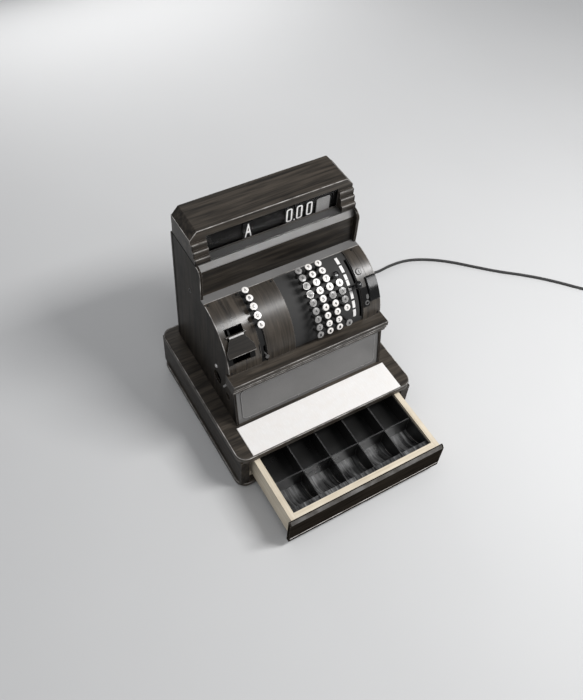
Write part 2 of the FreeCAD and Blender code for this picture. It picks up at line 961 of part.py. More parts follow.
def front_panel():
    """Leaning sheet with a raised field that has round corners."""
    low = Vector(0, cheek_toe + front_panel_recess, deck)
    high = Vector(0, cheek_knee + front_panel_recess, deck + ledge_low)
    up = high - low
    tall = up.Length
    up.normalize()
    out = Vector(0, -up.z, up.y)
    back = -out
    moves = [(high.y, high.z), (high.y + front_panel_thick, high.z), (low.y + front_panel_thick, low.z)]
    sheet = prism_x(-inner_half, inner_half, (low.y, low.z), moves)
    half = inner_half - field_margin
    c = field_corner
    k = c * (1 - math.sqrt(0.5))
    v0 = field_margin
    v1 = tall - field_margin

    def place(p):
        return low + Vector(p[0], 0, 0) + up * p[1] + back * (front_panel_thick / 2)

    moves = [
        (half - c, v0),
        ((half - k, v0 + k), (half, v0 + c)),
        (half, v1 - c),
        ((half - k, v1 - k), (half - c, v1)),
        (c - half, v1),
        ((k - half, v1 - k), (-half, v1 - c)),
        (-half, v0 + c),
        ((k - half, v0 + k), (c - half, v0)),
    ]
    field = Part.Face(outline(place, (c - half, v0), moves))
    field = field.extrude(out * (front_panel_thick / 2 + field_proud))
    return sheet.fuse(field).removeSplitter()


# Mechanism: frames with the tablet guide, lever shaft, indicator tablets, drive gear and motor
def machine_frame(x):
    toe = polar(frame_reach, frame_to)
    heel = body_back - back_plate - frame_gap
    top = deck + shelf_low - frame_drop
    moves = [
        (heel, deck),
        (heel, top),
        (shelf_front + frame_nose, top),
        polar(frame_reach, frame_from),
        (polar(frame_reach, (frame_from + frame_to) / 2), toe),
    ]
    plate = prism_x(x, x + frame_thick, (toe[0], deck), moves)
    bores = [
        rod_x(x - 1, x + frame_thick + 1, drive_back, deck + drive_height, drive_shaft_radius + run_gap),
        rod_x(x - 1, x + frame_thick + 1, axis_back, axis_z, lever_shaft_radius + run_gap),
    ]
    return plate.cut(bores)


def tablet_places():
    """Middle, width and top of each indicator tablet, by name."""
    places = {
        "clerk_tablet": (clerk_tablet_x, clerk_tablet_width, tablet_high),
        "flag_tablet": (flag_tablet_x, flag_tablet_width, tablet_high - flag_short),
    }
    for n in range(3):
        x = amount_tablet_x + n * amount_tablet_pitch
        places["amount_tablet_%d" % (n + 1)] = (x, amount_tablet_width, tablet_high)
    return places


def tablet_guide():
    """Slotted bar between the frames that keeps the tablets upright."""
    front = tablet_front
    back = tablet_front + tablet_thick
    low = deck + guide_low
    high = deck + guide_high
    bar = box(-frame_x, frame_x, front - guide_front, back + guide_back, low, high)
    slots = []
    for x, width, top in tablet_places().values():
        half = width / 2 + guide_gap
        slots.append(box(x - half, x + half, front - guide_gap, back + guide_gap, low - 1, high + 1))
    return bar.cut(slots)


def machine_frames():
    return group([machine_frame(-frame_x - frame_thick), machine_frame(frame_x), tablet_guide()])


def lever_shaft():
    reach = frame_x + frame_thick + 2
    return rod_x(-reach, reach, axis_back, axis_z, lever_shaft_radius)


def indicator_tablet(x, width, top):
    """Flat tablet that stands behind the glass and drops through the guide."""
    half = width / 2
    c = tablet_corner
    low = deck + tablet_low
    high = deck + top
    moves = [
        (x + half, low),
        (x + half, high - c),
        (x + half - c, high),
        (x - half + c, high),
        (x - half, high - c),
    ]
    return prism_y(tablet_front, tablet_front + tablet_thick, (x - half, low), moves)


def gear(x, width, y, z, teeth, phase):
    """Involute spur gear, its first tooth at the phase angle from +Y towards +Z."""
    pitch = gear_module * teeth / 2
    base = pitch * math.cos(math.radians(pressure_angle))
    tip = pitch + gear_module
    root = pitch - 1.25 * gear_module
    roll = math.radians(pressure_angle)
    half_tooth = math.pi / (2 * teeth) - tooth_slack / (4 * pitch) + math.tan(roll) - roll
    start = max(base, root)
    steps = 4
    flank = []
    for n in range(steps + 1):
        r = start + (tip - start) * n / steps
        a = math.acos(base / r)
        flank.append((r, half_tooth - math.tan(a) + a))
    points = []
    for n in range(teeth):
        centre = math.radians(phase) + 2 * math.pi * n / teeth
        side = [(root, flank[0][1])] + flank
        rising = [(r, centre - a) for r, a in side]
        falling = [(r, centre + a) for r, a in reversed(side)]
        points += [(y + r * math.cos(a), z + r * math.sin(a)) for r, a in rising + falling]
    return prism_x(x, x + width, points[0], points[1:])


def main_drive():
    y = drive_back
    z = deck + drive_height
    wheel = gear(gear_x, gear_width, y, z, gear_teeth, 0)
    shaft = rod_x(drive_end, frame_x + frame_thick + 2, y, z, drive_shaft_radius)
    hub = rod_x(gear_x - 6, gear_x + gear_width + 6, y, z, 2 * drive_shaft_radius)
    foot = Vector(drive_end + 2 * crank_pin_radius, y, z - crank_pin_half)
    pin = Part.makeCylinder(crank_pin_radius, 2 * crank_pin_half, foot)
    return wheel.fuse([shaft, hub, pin]).removeSplitter()


def pinion_back():
    return drive_back + gear_module * (gear_teeth + pinion_teeth) / 2


def motor_pinion():
    y = pinion_back()
    z = deck + drive_height
    wheel = gear(gear_x - 1, gear_width + 2, y, z, pinion_teeth, 180.0 / pinion_teeth)
    start = motor_right - motor_bore_depth + 1
    shaft = rod_x(start, gear_x + gear_width + 3, y, z, motor_shaft_radius)
    return wheel.fuse(shaft).removeSplitter()


def motor():
    y = pinion_back()
    z = deck + drive_height
    can = rod_x(motor_left, motor_right, y, z, motor_radius)
    can = can.makeChamfer(6, can.Edges[:1] + can.Edges[2:])
    foot = box(motor_left + 12, motor_right - 12, y - motor_foot_half, y + motor_foot_half, deck, z)
    bore = rod_x(motor_right - motor_bore_depth, motor_right + 1, y, z, motor_shaft_radius + run_gap)
    return can.fuse(foot).cut(bore).removeSplitter()


# Mains cord: strain relief, free stretch on the floor, coil and plug
def strain_relief():
    y = slab_depth - side_set_back
    collar = 5.0
    seat = Vector(cord_exit_x, y, cord_exit_height)
    flange = Part.makeCylinder(relief_flange, collar, seat, Vector(0, 1, 0))
    cone = Part.makeCone(
        relief_flange * 0.78,
        relief_tip,
        relief_length - collar,
        Vector(cord_exit_x, y + collar, cord_exit_height),
        Vector(0, 1, 0),
    )
    return flange.fuse(cone).removeSplitter()


def cord_route():
    rest = cord_diameter / 2 + lift
    y = slab_depth - side_set_back + relief_length
    heading = math.radians(coil_heading)
    ahead = Vector(math.cos(heading), math.sin(heading), 0)
    end = Vector(coil_start[0], coil_start[1], rest)
    route = [
        Vector(cord_exit_x, y, cord_exit_height),
        Vector(cord_exit_x, y + 28, cord_exit_height),
        Vector(150, 474, 28),
        Vector(176, 494, 7),
        Vector(212, 497, rest),
        Vector(256, 472, rest),
        Vector(300, 432, rest),
        Vector(348, 402, rest),
        Vector(404, 392, rest),
        Vector(452, 398, rest),
        Vector(504, 393, rest),
        Vector(556, 369, rest),
        Vector(606, 333, rest),
        Vector(652, 289, rest),
        Vector(702, 243, rest),
        Vector(758, 200, rest),
        Vector(812, 150, rest),
    ]
    return route + [end - ahead * 55, end]


def arc_between(start, corner, end):
    chord = (start + end) * 0.5
    half = (end - start).Length / 2
    rise = (corner - chord).Length
    turn = math.atan2(rise, half)
    return Part.Arc(start, chord + (corner - chord) * (half * math.tan(turn / 2) / rise), end).toShape()


def rounded_path(points):
    """Straight runs joined by tangent arcs as large as their two runs allow."""
    edges = []
    radii = []
    here = points[0]
    for a, b, c in zip(points, points[1:], points[2:]):
        before = a - b
        after = c - b
        shorter = min(before.Length, after.Length)
        half_turn = (math.pi - before.getAngle(after)) / 2
        cut = 0.45 * shorter
        radii.append(round(cut / math.tan(half_turn)))
        enter = b + before.normalize() * cut
        leave = b + after.normalize() * cut
        edges.append(Part.LineSegment(here, enter).toShape())
        edges.append(arc_between(enter, b, leave))
        here = leave
    edges.append(Part.LineSegment(here, points[-1]).toShape())
    return edges, radii


def biarc(p0, t0, p1, t1):
    """Two tangent arcs from a point and direction to another."""
    v = p1 - p0
    t = t0 + t1
    k = 2 * (1 - t0.dot(t1))
    d = (-v.dot(t) + math.sqrt(v.dot(t) ** 2 + k * v.dot(v))) / k
    q0 = p0 + t0 * d
    q1 = p1 - t1 * d
    middle = (q0 + q1) * 0.5
    return [arc_between(p0, q0, middle), arc_between(middle, q1, p1)]


def tube(edges, diameter):
    wire = Part.Wire(edges)
    start = edges[0].valueAt(edges[0].FirstParameter)
    along = edges[0].tangentAt(edges[0].FirstParameter)
    ring = Part.Wire(Part.makeCircle(diameter / 2, start, along))
    return wire.makePipeShell([ring], True, False)


def coil_point(turns):
    """Place on the coil after some turns: in along the floor, up a layer in half a turn, out on top."""
    rest = cord_diameter / 2 + lift
    middle = coil_turns / 2
    radius = coil_out_radius - coil_pitch * (middle - abs(turns - middle))
    share = min(max(turns - middle + 0.25, 0.0), 0.5) / 0.5
    z = rest + coil_pitch * (1 - math.cos(math.pi * share)) / 2
    heading = math.radians(coil_heading)
    lead = Vector(math.cos(heading), math.sin(heading), 0) * (cord_diameter * 1.5)
    side = Vector(-math.sin(heading), math.cos(heading), 0)
    centre = Vector(coil_start[0], coil_start[1], 0) + lead + side * coil_out_radius
    a = heading - math.pi / 2 + 2 * math.pi * turns
    return centre + Vector(radius * math.cos(a), radius * math.sin(a), z)


def coil_tangent(turns):
    step = 1e-4
    t = coil_point(turns + step) - coil_point(turns - step)
    return t.normalize()


def coil_edges():
    heading = math.radians(coil_heading)
    ahead = Vector(math.cos(heading), math.sin(heading), 0)
    rest = cord_diameter / 2 + lift
    start = Vector(coil_start[0], coil_start[1], rest)
    steps = int(round(coil_turns * 4))
    knots = [coil_turns * n / steps for n in range(steps + 1)]
    points = [coil_point(t) for t in knots]
    tangents = [ahead] + [coil_tangent(t) for t in knots[1:]]
    tail = Vector(tangents[-1].x, tangents[-1].y, 0).normalize()
    tangents[-1] = tail
    edges = [Part.LineSegment(start, points[0]).toShape()]
    for n in range(steps):
        edges += biarc(points[n], tangents[n], points[n + 1], tangents[n + 1])
    end = points[-1] + tail * coil_tail
    edges.append(Part.LineSegment(points[-1], end).toShape())
    return edges, end, tail


def least_gap(edges):
    """Smallest clear gap between stretches of the coil that aren't neighbours, on sampled points."""
    samples = []
    run = 0.0
    for edge in edges:
        count = max(2, int(edge.Length / 3))
        for n in range(count):
            first, last = edge.FirstParameter, edge.LastParameter
            point = edge.valueAt(first + (last - first) * n / count)
            samples.append((run + edge.Length * n / count, point))
        run += edge.Length
    apart = 3 * cord_diameter
    gaps = [
        (p - q).Length - cord_diameter
        for i, (s, p) in enumerate(samples)
        for t, q in samples[i + 1 :]
        if t - s > apart
    ]
    return min(gaps)


def plug(end, along):
    """Moulded two-blade plug with a tapered neck."""
    neck = 14.0
    body = Part.makeCone(relief_tip, plug_radius, neck, end, along)
    body = body.fuse(Part.makeCylinder(plug_radius, plug_length - neck, end + along * neck, along))
    side = Vector(-along.y, along.x, 0)
    face = end + along * plug_length
    blades = []
    for s in (-1, 1):
        middle = face + side * (s * blade_spacing / 2)
        across = side * blade_thick
        rise = Vector(0, 0, blade_width)
        corner = middle - across / 2 - rise / 2
        wire = Part.makePolygon([corner, corner + across, corner + across + rise, corner + rise, corner])
        blades.append(Part.Face(wire).extrude(along * blade_length))
    return body.fuse(blades).removeSplitter()


nodes = {
    "case_top": case_top(),
    "change_plate": change_plate(),
    "case_sides": case_sides(),
    "case_back": case_back(),
    "case_bottom": case_bottom(),
    "rubber_feet": rubber_feet(),
    "drawer_runners": drawer_runners(),
    "drawer_front": drawer_front(),
    "drawer_box": drawer_box(),
    "drawer_bottom": drawer_bottom(),
    "till_walls": till_walls(),
    "coin_scoops": coin_scoops(),
    "left_side_panel": left_side_panel(),
    "right_side_panel": right_side_panel(),
    "back_panel": back_panel(),
    "hood_cover": hood_cover(),
    "window_glasses": window_glasses(),
    "window_sill": window_sill(),
    "shelf_bar": shelf_bar(),
    "upper_panel": upper_panel(),
    "keyboard_strip": keyboard_strip(),
    "left_key_cover": left_key_cover(),
    "centre_key_cover": centre_key_cover(),
    "right_key_cover": right_key_cover(),
    "key_plate": key_plate(),
    "control_lever": control_lever(),
    "receipt_lever": receipt_lever(),
    "motor_bar": motor_bar(),
    "lock_plug": lock_plug(),
    "receipt_lid": receipt_lid(),
    "front_ledge": front_ledge(),
    "front_panel": front_panel(),
    "machine_frames": machine_frames(),
    "lever_shaft": lever_shaft(),
    "main_drive": main_drive(),
    "motor_pinion": motor_pinion(),
    "motor": motor(),
    "strain_relief": strain_relief(),
}
for row in range(1, key_rows + 1):
    nodes["key_row_%d" % row] = key_row(row)
for number in range(1, clerk_count + 1):
    nodes["clerk_key_%d" % number] = key(clerk_x, clerk_angle(number))
for name, place in tablet_places().items():
    nodes[name] = indicator_tablet(*place)

free_edges, free_radii = rounded_path(cord_route())
nodes["cord_free"] = tube(free_edges, cord_diameter)
wound_edges, wound_end, wound_along = coil_edges()
nodes["cord_coil"] = tube(wound_edges, cord_diameter)
nodes["plug"] = plug(wound_end, wound_along)

for name, shape in nodes.items():
    save(name, shape)

section = math.pi * cord_diameter**2 / 4
for name, edges in (("cord_free", free_edges), ("cord_coil", wound_edges)):
    length = sum(e.Length for e in edges)
    print(name, "length", round(length), "volume ratio", round(nodes[name].Volume / (section * length), 4))
print("free cord radii", free_radii)
print("coil least gap", round(least_gap(wound_edges), 2))
print("nodes", len(nodes), "invalid", [n for n, s in nodes.items() if not s.isValid()])
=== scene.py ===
import json
import math

import bmesh
import bpy
from mathutils import Matrix, Vector


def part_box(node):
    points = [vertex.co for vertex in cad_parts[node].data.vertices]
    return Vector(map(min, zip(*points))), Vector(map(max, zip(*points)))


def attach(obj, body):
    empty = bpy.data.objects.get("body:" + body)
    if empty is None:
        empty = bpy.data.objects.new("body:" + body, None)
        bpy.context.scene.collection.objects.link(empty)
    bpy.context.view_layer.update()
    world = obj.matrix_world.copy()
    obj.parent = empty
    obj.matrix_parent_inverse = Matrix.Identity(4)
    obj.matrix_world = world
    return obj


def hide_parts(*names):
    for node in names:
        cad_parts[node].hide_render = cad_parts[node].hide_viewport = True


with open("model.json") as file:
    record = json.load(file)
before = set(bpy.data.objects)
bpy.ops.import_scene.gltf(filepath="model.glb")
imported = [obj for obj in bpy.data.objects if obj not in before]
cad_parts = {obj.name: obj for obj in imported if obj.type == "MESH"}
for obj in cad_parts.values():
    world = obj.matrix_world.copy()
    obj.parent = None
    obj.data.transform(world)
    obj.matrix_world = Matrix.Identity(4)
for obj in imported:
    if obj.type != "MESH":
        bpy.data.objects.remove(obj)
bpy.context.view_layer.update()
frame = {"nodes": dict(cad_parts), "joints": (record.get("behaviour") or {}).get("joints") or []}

# Directions: x to the right, y to the back, z up
RIGHT = Vector((1, 0, 0))
BACK = Vector((0, 1, 0))
UP = Vector((0, 0, 1))

# Places and bodies taken from the frame, and the keyboard's radii, metres
JOINTS = {j["name"]: j for j in frame["joints"]}
AXIS = Vector(JOINTS["control_lever_turn"]["pos_m"])
LOCK_AT = Vector(JOINTS["lock_plug_turn"]["pos_m"])
LID_AT = Vector(JOINTS["receipt_lid_turn"]["pos_m"])
BODY_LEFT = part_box("left_side_panel")[0].x
BODY_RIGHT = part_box("right_side_panel")[1].x
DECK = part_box("case_top")[1].z
CABINET = "cabinet"
DRAWER = "drawer"
LID = "receipt_lid_body"
COVER_RADIUS = 0.113
PLATE_RADIUS = 0.110

# Photograph: its height and focal length in pixels, and where the camera stood
PHOTO_HEIGHT = 700
FOCAL_PIXELS = 791.93
SENSOR = 36.0
CLIP_END = 50.0
CAMERA_AT = Vector((-0.5967, -0.8045, 1.5369))
CAMERA_RIGHT = Vector((0.86232, -0.50284, 0.05966))
CAMERA_UP = Vector((0.36960, 0.70558, 0.60462))

# Stage: floor, world light and soft boxes (place, watts, width, depth, tilt in degrees)
FLOOR_HALF = 6.0
FLOOR_TONE = 0.60
WORLD_COLOUR = (0.92, 0.95, 1.0, 1.0)
WORLD_STRENGTH = 0.22
LAMPS = {
    "key_lamp": ((1.15, -0.90, 2.10), 59.0, 1.3, 0.45, 27.0),
    "fill_lamp": ((-0.9, -1.9, 1.7), 7.0, 1.6, 1.2, 50.0),
    "top_lamp": ((-0.9, -0.1, 2.2), 8.0, 1.6, 1.2, 5.0),
    "bar_lamp": ((1.09, -1.45, 1.30), 4.0, 0.22, 0.62, 65.0),
    "back_lamp": ((0.30, 2.00, 0.60), 14.0, 1.6, 0.7, -86.0),
}


# Materials
class Paint:
    """A node material: constants go on the shader's sockets, textures come from object space."""

    def __init__(self, name, **constants):
        self.material = bpy.data.materials.new(name)
        self.material.use_nodes = True
        self.nodes = self.material.node_tree.nodes
        self.links = self.material.node_tree.links
        self.shader = self.nodes["Principled BSDF"]
        for socket, value in constants.items():
            self.shader.inputs[socket.replace("_", " ")].default_value = value
        self.space = self.nodes.new("ShaderNodeTexCoord").outputs["Object"]

    def link(self, output, socket):
        self.links.new(output, self.shader.inputs[socket])

    def feed(self, value, socket):
        """Sets a socket to a constant, or links an output to it."""
        if isinstance(value, (float, tuple)):
            socket.default_value = value
        else:
            self.links.new(value, socket)

    def stretched(self, scale):
        mapping = self.nodes.new("ShaderNodeMapping")
        mapping.inputs["Scale"].default_value = scale
        self.links.new(self.space, mapping.inputs["Vector"])
        return mapping.outputs["Vector"]

    def noise(self, scale, detail=4.0, rough=0.5, distortion=0.0):
        texture = self.nodes.new("ShaderNodeTexNoise")
        vector = self.stretched(scale if isinstance(scale, tuple) else (scale,) * 3)
        self.links.new(vector, texture.inputs["Vector"])
        texture.inputs["Scale"].default_value = 1.0
        texture.inputs["Detail"].default_value = detail
        texture.inputs["Roughness"].default_value = rough
        texture.inputs["Distortion"].default_value = distortion
        return texture.outputs["Fac"]

    def ramp(self, factor, stops):
        ramp = self.nodes.new("ShaderNodeValToRGB")
        elements = ramp.color_ramp.elements
        while len(elements) < len(stops):
            elements.new(0.5)
        for element, (place, colour) in zip(elements, stops):
            element.position = place
            element.color = (*colour, 1.0)
        self.links.new(factor, ramp.inputs["Fac"])
        return ramp.outputs["Color"]

    def level(self, factor, low, high):
        """The factor as a grey value from low to high."""
        spread = self.nodes.new("ShaderNodeMapRange")
        spread.inputs["To Min"].default_value = low
        spread.inputs["To Max"].default_value = high
        self.links.new(factor, spread.inputs["Value"])
        return spread.outputs["Result"]

    def maths(self, operation, *values):
        node = self.nodes.new("ShaderNodeMath")
        node.operation = operation
        for value, socket in zip(values, node.inputs):
            self.feed(value, socket)
        return node.outputs[0]

    def mix(self, factor, first, second, blend="MIX"):
        mix = self.nodes.new("ShaderNodeMix")
        mix.data_type = "RGBA"
        mix.blend_type = blend
        for value, socket in ((factor, 0), (first, 6), (second, 7)):
            self.feed(value, mix.inputs[socket])
        return mix.outputs[2]

    def x(self):
        """The shaded point's x in object space."""
        split = self.nodes.new("ShaderNodeSeparateXYZ")
        self.links.new(self.space, split.inputs["Vector"])
        return split.outputs["X"]

    def edges_rubbed_and_highlit(self, base, colour, width=0.0008):
        """The base colour, lighter along sharp edges: rubbed paint, and a painted highlight where the
        edges catch the light.
        """
        bevel = self.nodes.new("ShaderNodeBevel")
        bevel.samples = 4
        bevel.inputs["Radius"].default_value = width
        flat = self.nodes.new("ShaderNodeNewGeometry")
        alike = self.nodes.new("ShaderNodeVectorMath")
        alike.operation = "DOT_PRODUCT"
        self.links.new(bevel.outputs["Normal"], alike.inputs[0])
        self.links.new(flat.outputs["Normal"], alike.inputs[1])
        edge = self.nodes.new("ShaderNodeMapRange")
        edge.inputs["From Min"].default_value = 0.985
        edge.inputs["From Max"].default_value = 0.90
        self.links.new(alike.outputs["Value"], edge.inputs["Value"])
        patchy = self.level(self.noise(70.0, detail=4.0), 0.1, 1.0)
        amount = self.maths("MULTIPLY", edge.outputs["Result"], patchy)
        return self.mix(amount, base, (*colour, 1.0))

    def bump(self, height, strength, distance):
        bump = self.nodes.new("ShaderNodeBump")
        bump.inputs["Strength"].default_value = strength
        bump.inputs["Distance"].default_value = distance
        self.links.new(height, bump.inputs["Height"])
        self.link(bump.outputs["Normal"], "Normal")


def tone(value, warmth=0.0):
    """A grey, a little warmer or cooler."""
    return (value * (1 + warmth), value, value * (1 - warmth))


def grained(name, dark, light, along, roughness=(0.34, 0.52), shine=0.3, coat=0.1):
    """Enamel printed with wood grain that runs along one axis, or round a curve in two."""
    paint = Paint(name, Coat_Weight=coat, Coat_Roughness=0.25, Specular_IOR_Level=shine)
    warmth = 0.22

    def streak(long, across):
        return tuple(long if axis in along else across for axis in "xyz")

    broad = paint.noise(streak(4.0, 62.0), detail=4.0, rough=0.55, distortion=1.1)
    dashes = paint.noise(streak(15.0, 190.0), detail=3.0, rough=0.6, distortion=0.4)
    fine = paint.noise(streak(7.0, 420.0), detail=5.0, rough=0.65)
    worn = paint.noise(14.0, detail=6.0)
    base = paint.ramp(broad, [(0.36, tone(dark, warmth)), (0.64, tone(light, warmth))])
    pores = paint.ramp(dashes, [(0.34, tone(0.45)), (0.54, tone(1.0))])
    fibre = paint.ramp(fine, [(0.28, tone(0.65)), (0.62, tone(1.0))])
    dull = paint.ramp(worn, [(0.42, tone(0.88)), (0.68, tone(1.0))])
    for share, layer in ((0.8, pores), (0.5, fibre), (0.6, dull)):
        base = paint.mix(share, base, layer, "MULTIPLY")
    # Sharp edges lightened: rubbed paint, and a painted highlight along them
    paint.link(paint.edges_rubbed_and_highlit(base, tone(0.26, 0.06)), "Base Color")
    paint.link(paint.level(worn, *roughness), "Roughness")
    paint.bump(fine, 0.05, 0.0006)
    return paint.material


def enamel(name, colour, roughness=(0.32, 0.5), grit=500.0, shine=0.5, edge=None, painted_shade_to=None):
    """Sprayed enamel with faint clouding and fine orange-peel, lighter along sharp edges if an edge
    tone is given (rubbed paint and painted highlight), and darker up to an x if one is given (painted
    shade).
    """
    paint = Paint(name, Specular_IOR_Level=shine)
    warmth = 0.02
    cloud = paint.noise(9.0, detail=6.0, rough=0.6)
    speck = paint.noise(grit, detail=2.0)
    base = paint.ramp(cloud, [(0.3, tone(colour * 0.86, warmth)), (0.7, tone(colour * 1.08, warmth))])
    fleck = paint.ramp(speck, [(0.30, tone(0.86)), (0.5, tone(1.0))])
    base = paint.mix(0.5, base, fleck, "MULTIPLY")
    # Light edges, if an edge tone is given: rubbed paint and a painted highlight
    if edge:
        base = paint.edges_rubbed_and_highlit(base, tone(edge))
    # Painted shade: darker to the left of the given x
    if painted_shade_to is not None:
        left = paint.maths("LESS_THAN", paint.x(), painted_shade_to)
        base = paint.mix(left, base, (*tone(colour * 0.3, warmth), 1.0))
    paint.link(base, "Base Color")
    paint.link(paint.level(cloud, *roughness), "Roughness")
    paint.bump(speck, 0.06, 0.0004)
    return paint.material


def matt(name, colour):
    """Plain matt paint, almost even."""
    paint = Paint(name, Specular_IOR_Level=0.2)
    cloud = paint.noise(3.0, detail=3.0)
    paint.link(paint.ramp(cloud, [(0.3, tone(colour * 0.985)), (0.7, tone(colour))]), "Base Color")
    paint.link(paint.level(cloud, 0.75, 0.85), "Roughness")
    return paint.material


def rubbed(name, dark, light):
    """Paint worn through in patches along an edge; where it lines edges it also stands in as a painted
    highlight.
    """
    paint = Paint(name, Specular_IOR_Level=0.35)
    patch = paint.noise(38.0, detail=6.0, rough=0.6)
    middle = (dark + light) / 2
    stops = [(0.36, tone(dark, 0.10)), (0.52, tone(middle, 0.06)), (0.66, tone(light, 0.04))]
    paint.link(paint.ramp(patch, stops), "Base Color")
    paint.link(paint.level(patch, 0.55, 0.34), "Roughness")
    paint.bump(patch, 0.05, 0.0002)
    return paint.material


def scuffed(name, dark, light):
    """Black gloss rubbed grey by coins, in streaks from front to back; the grey streaks are also a
    painted reflection along the curved scoops.
    """
    paint = Paint(name, Specular_IOR_Level=0.6)
    streak = paint.noise((150.0, 12.0, 16.0), detail=5.0, rough=0.6, distortion=0.5)
    patch = paint.noise(26.0, detail=4.0)
    stops = [(0.36, tone(dark)), (0.54, tone((dark + light) / 3)), (0.70, tone(light))]
    worn = paint.ramp(streak, stops)
    kept = paint.ramp(patch, [(0.36, tone(0.45)), (0.60, tone(1.0))])
    paint.link(paint.mix(1.0, worn, kept, "MULTIPLY"), "Base Color")
    paint.link(paint.level(streak, 0.12, 0.34), "Roughness")
    paint.bump(patch, 0.25, 0.0012)
    return paint.material


def plastic(name, colour, warmth=0.03, roughness=(0.18, 0.34), soiled=0.90):
    """Moulded plastic, slightly yellowed and scuffed."""
    paint = Paint(name)
    cloud = paint.noise(60.0, detail=5.0)
    scuff = paint.noise((900.0, 60.0, 60.0), detail=3.0)
    base = paint.ramp(cloud, [(0.3, tone(colour * soiled, warmth * 1.8)), (0.7, tone(colour, warmth))])
    paint.link(base, "Base Color")
    paint.link(paint.level(scuff, *roughness), "Roughness")
    paint.bump(scuff, 0.02, 0.0002)
    return paint.material


def metal(name, colour, roughness=(0.16, 0.34)):
    """Polished or brushed metal with fine lines along x."""
    paint = Paint(name, Metallic=1.0)
    lines = paint.noise((6.0, 420.0, 420.0), detail=3.0)
    tarnish = paint.noise(24.0, detail=6.0)
    base = paint.ramp(tarnish, [(0.32, tone(colour * 0.84, 0.03)), (0.66, tone(colour, 0.01))])
    paint.link(base, "Base Color")
    paint.link(paint.level(lines, *roughness), "Roughness")
    paint.bump(lines, 0.04, 0.0002)
    return paint.material


def bare_wood(name, turn_x):
    """Pale drawer wood: the grain runs from front to back in the side boards, across in the others."""
    paint = Paint(name, Coat_Weight=0.1)
    sides = paint.noise((150.0, 4.0, 130.0), detail=5.0, rough=0.6, distortion=0.5)
    across = paint.noise((4.0, 150.0, 130.0), detail=5.0, rough=0.6, distortion=0.5)
    outer = paint.maths("GREATER_THAN", paint.maths("ABSOLUTE", paint.x()), turn_x)
    grain = paint.nodes.new("ShaderNodeMix")
    for value, socket in ((outer, 0), (across, 2), (sides, 3)):
        paint.links.new(value, grain.inputs[socket])
    figure = grain.outputs[0]
    stops = [(0.25, (0.50, 0.42, 0.31)), (0.5, (0.68, 0.60, 0.47)), (0.75, (0.76, 0.69, 0.56))]
    base = paint.ramp(figure, stops)
    soil = paint.ramp(paint.noise(20.0, detail=6.0), [(0.35, tone(0.80, 0.02)), (0.6, tone(1.0))])
    paint.link(paint.mix(0.7, base, soil, "MULTIPLY"), "Base Color")
    paint.link(paint.level(figure, 0.42, 0.62), "Roughness")
    paint.bump(figure, 0.08, 0.0005)
    return paint.material


def pane(name):
    """Thin window glass: mostly clear, with a faint mirror."""
    paint = Paint(name, Alpha=0.012, Metallic=1.0)
    smear = paint.noise((30.0, 30.0, 8.0), detail=5.0)
    paint.link(paint.ramp(smear, [(0.35, tone(0.62)), (0.7, tone(0.78))]), "Base Color")
    paint.link(paint.level(smear, 0.02, 0.12), "Roughness")
    return paint.material


# The key plate is darker in the clerk slot, left of the centre cover's middle: painted shade of the
# deep slot
CLERK_SLOT_SHADE_X = sum(corner.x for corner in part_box("centre_key_cover")) / 2
CASE_WOOD = grained("case_wood_grain", 0.019, 0.064, "x")
# Darker copies of the grain for the case sides, the side and back panels and the recessed upper panel:
# wood grain, partly painted shade
CASE_SIDE_SHADED = grained("case_side_grain_shaded", 0.012, 0.040, "y", shine=0.1, coat=0.03)
PANEL_GRAIN_SHADED = grained("side_panel_grain_shaded", 0.009, 0.033, "z", shine=0.1, coat=0.03)
HOOD_GRAIN = grained("hood_grain", 0.013, 0.056, "x", coat=0.06)
UPPER_GRAIN_SHADED = grained("upper_panel_grain_shaded", 0.008, 0.038, "x", shine=0.2)
COVER_GRAIN = grained("cover_grain", 0.022, 0.058, "yz", (0.20, 0.30), shine=0.55)
RIGHT_GRAIN = grained("right_cover_grain", 0.022, 0.058, "yz", (0.27, 0.37), shine=0.45)
DULL_GRAIN = grained("centre_cover_grain", 0.022, 0.058, "yz", (0.34, 0.46), shine=0.35)
LID_GRAIN = grained("lid_grain", 0.009, 0.020, "x", (0.42, 0.56), shine=0.2)
TRIM_GRAIN = grained("bottom_board_grain", 0.030, 0.070, "x")
FRONT_GRAIN = grained("drawer_front_grain", 0.014, 0.024, "x", shine=0.0, coat=0.0)
GREY = enamel("grey_enamel", 0.145)
# Rubbed paint and painted highlight on the front panel's field edge
FIELD_EDGE_HIGHLIGHT = enamel("field_edge_worn_and_highlight", 0.30)
PLATE_GREY = enamel("key_plate_enamel_and_slot_shade", 0.039, (0.55, 0.75), shine=0.2, painted_shade_to=CLERK_SLOT_SHADE_X)
SILL_GREY = enamel("sill_enamel", 0.050, shine=0.3)
STRIP_GREY = enamel("strip_enamel", 0.15, shine=0.4)
# Light sheet edges on the till: rubbed paint and a painted highlight
BLACK_SHEET = enamel("till_black", 0.014, (0.20, 0.38), edge=0.34)
FRAME_BLACK = enamel("frame_black", 0.016, (0.5, 0.7), shine=0.2)
LOCK_METAL = enamel("lock_satin", 0.30, (0.42, 0.58), shine=0.35)
MOTOR_PAINT = enamel("motor_crinkle", 0.06, (0.5, 0.7), grit=900.0)
RUBBER = enamel("cord_rubber_black", 0.022, (0.55, 0.75), grit=1400.0)
FOOT_RUBBER = enamel("foot_rubber_black", 0.03, (0.7, 0.85))
TABLET_BLACK = enamel("tablet_black", 0.010, (0.6, 0.8), shine=0.1)
NUMERAL_WHITE = enamel("numeral_white", 0.80, (0.5, 0.7))
INK = enamel("legend_ink", 0.03, (0.5, 0.7))
LABEL_WHITE = enamel("label_white", 0.74, (0.45, 0.6))
FLAG_GREY = enamel("flag_grey", 0.24, (0.45, 0.6))
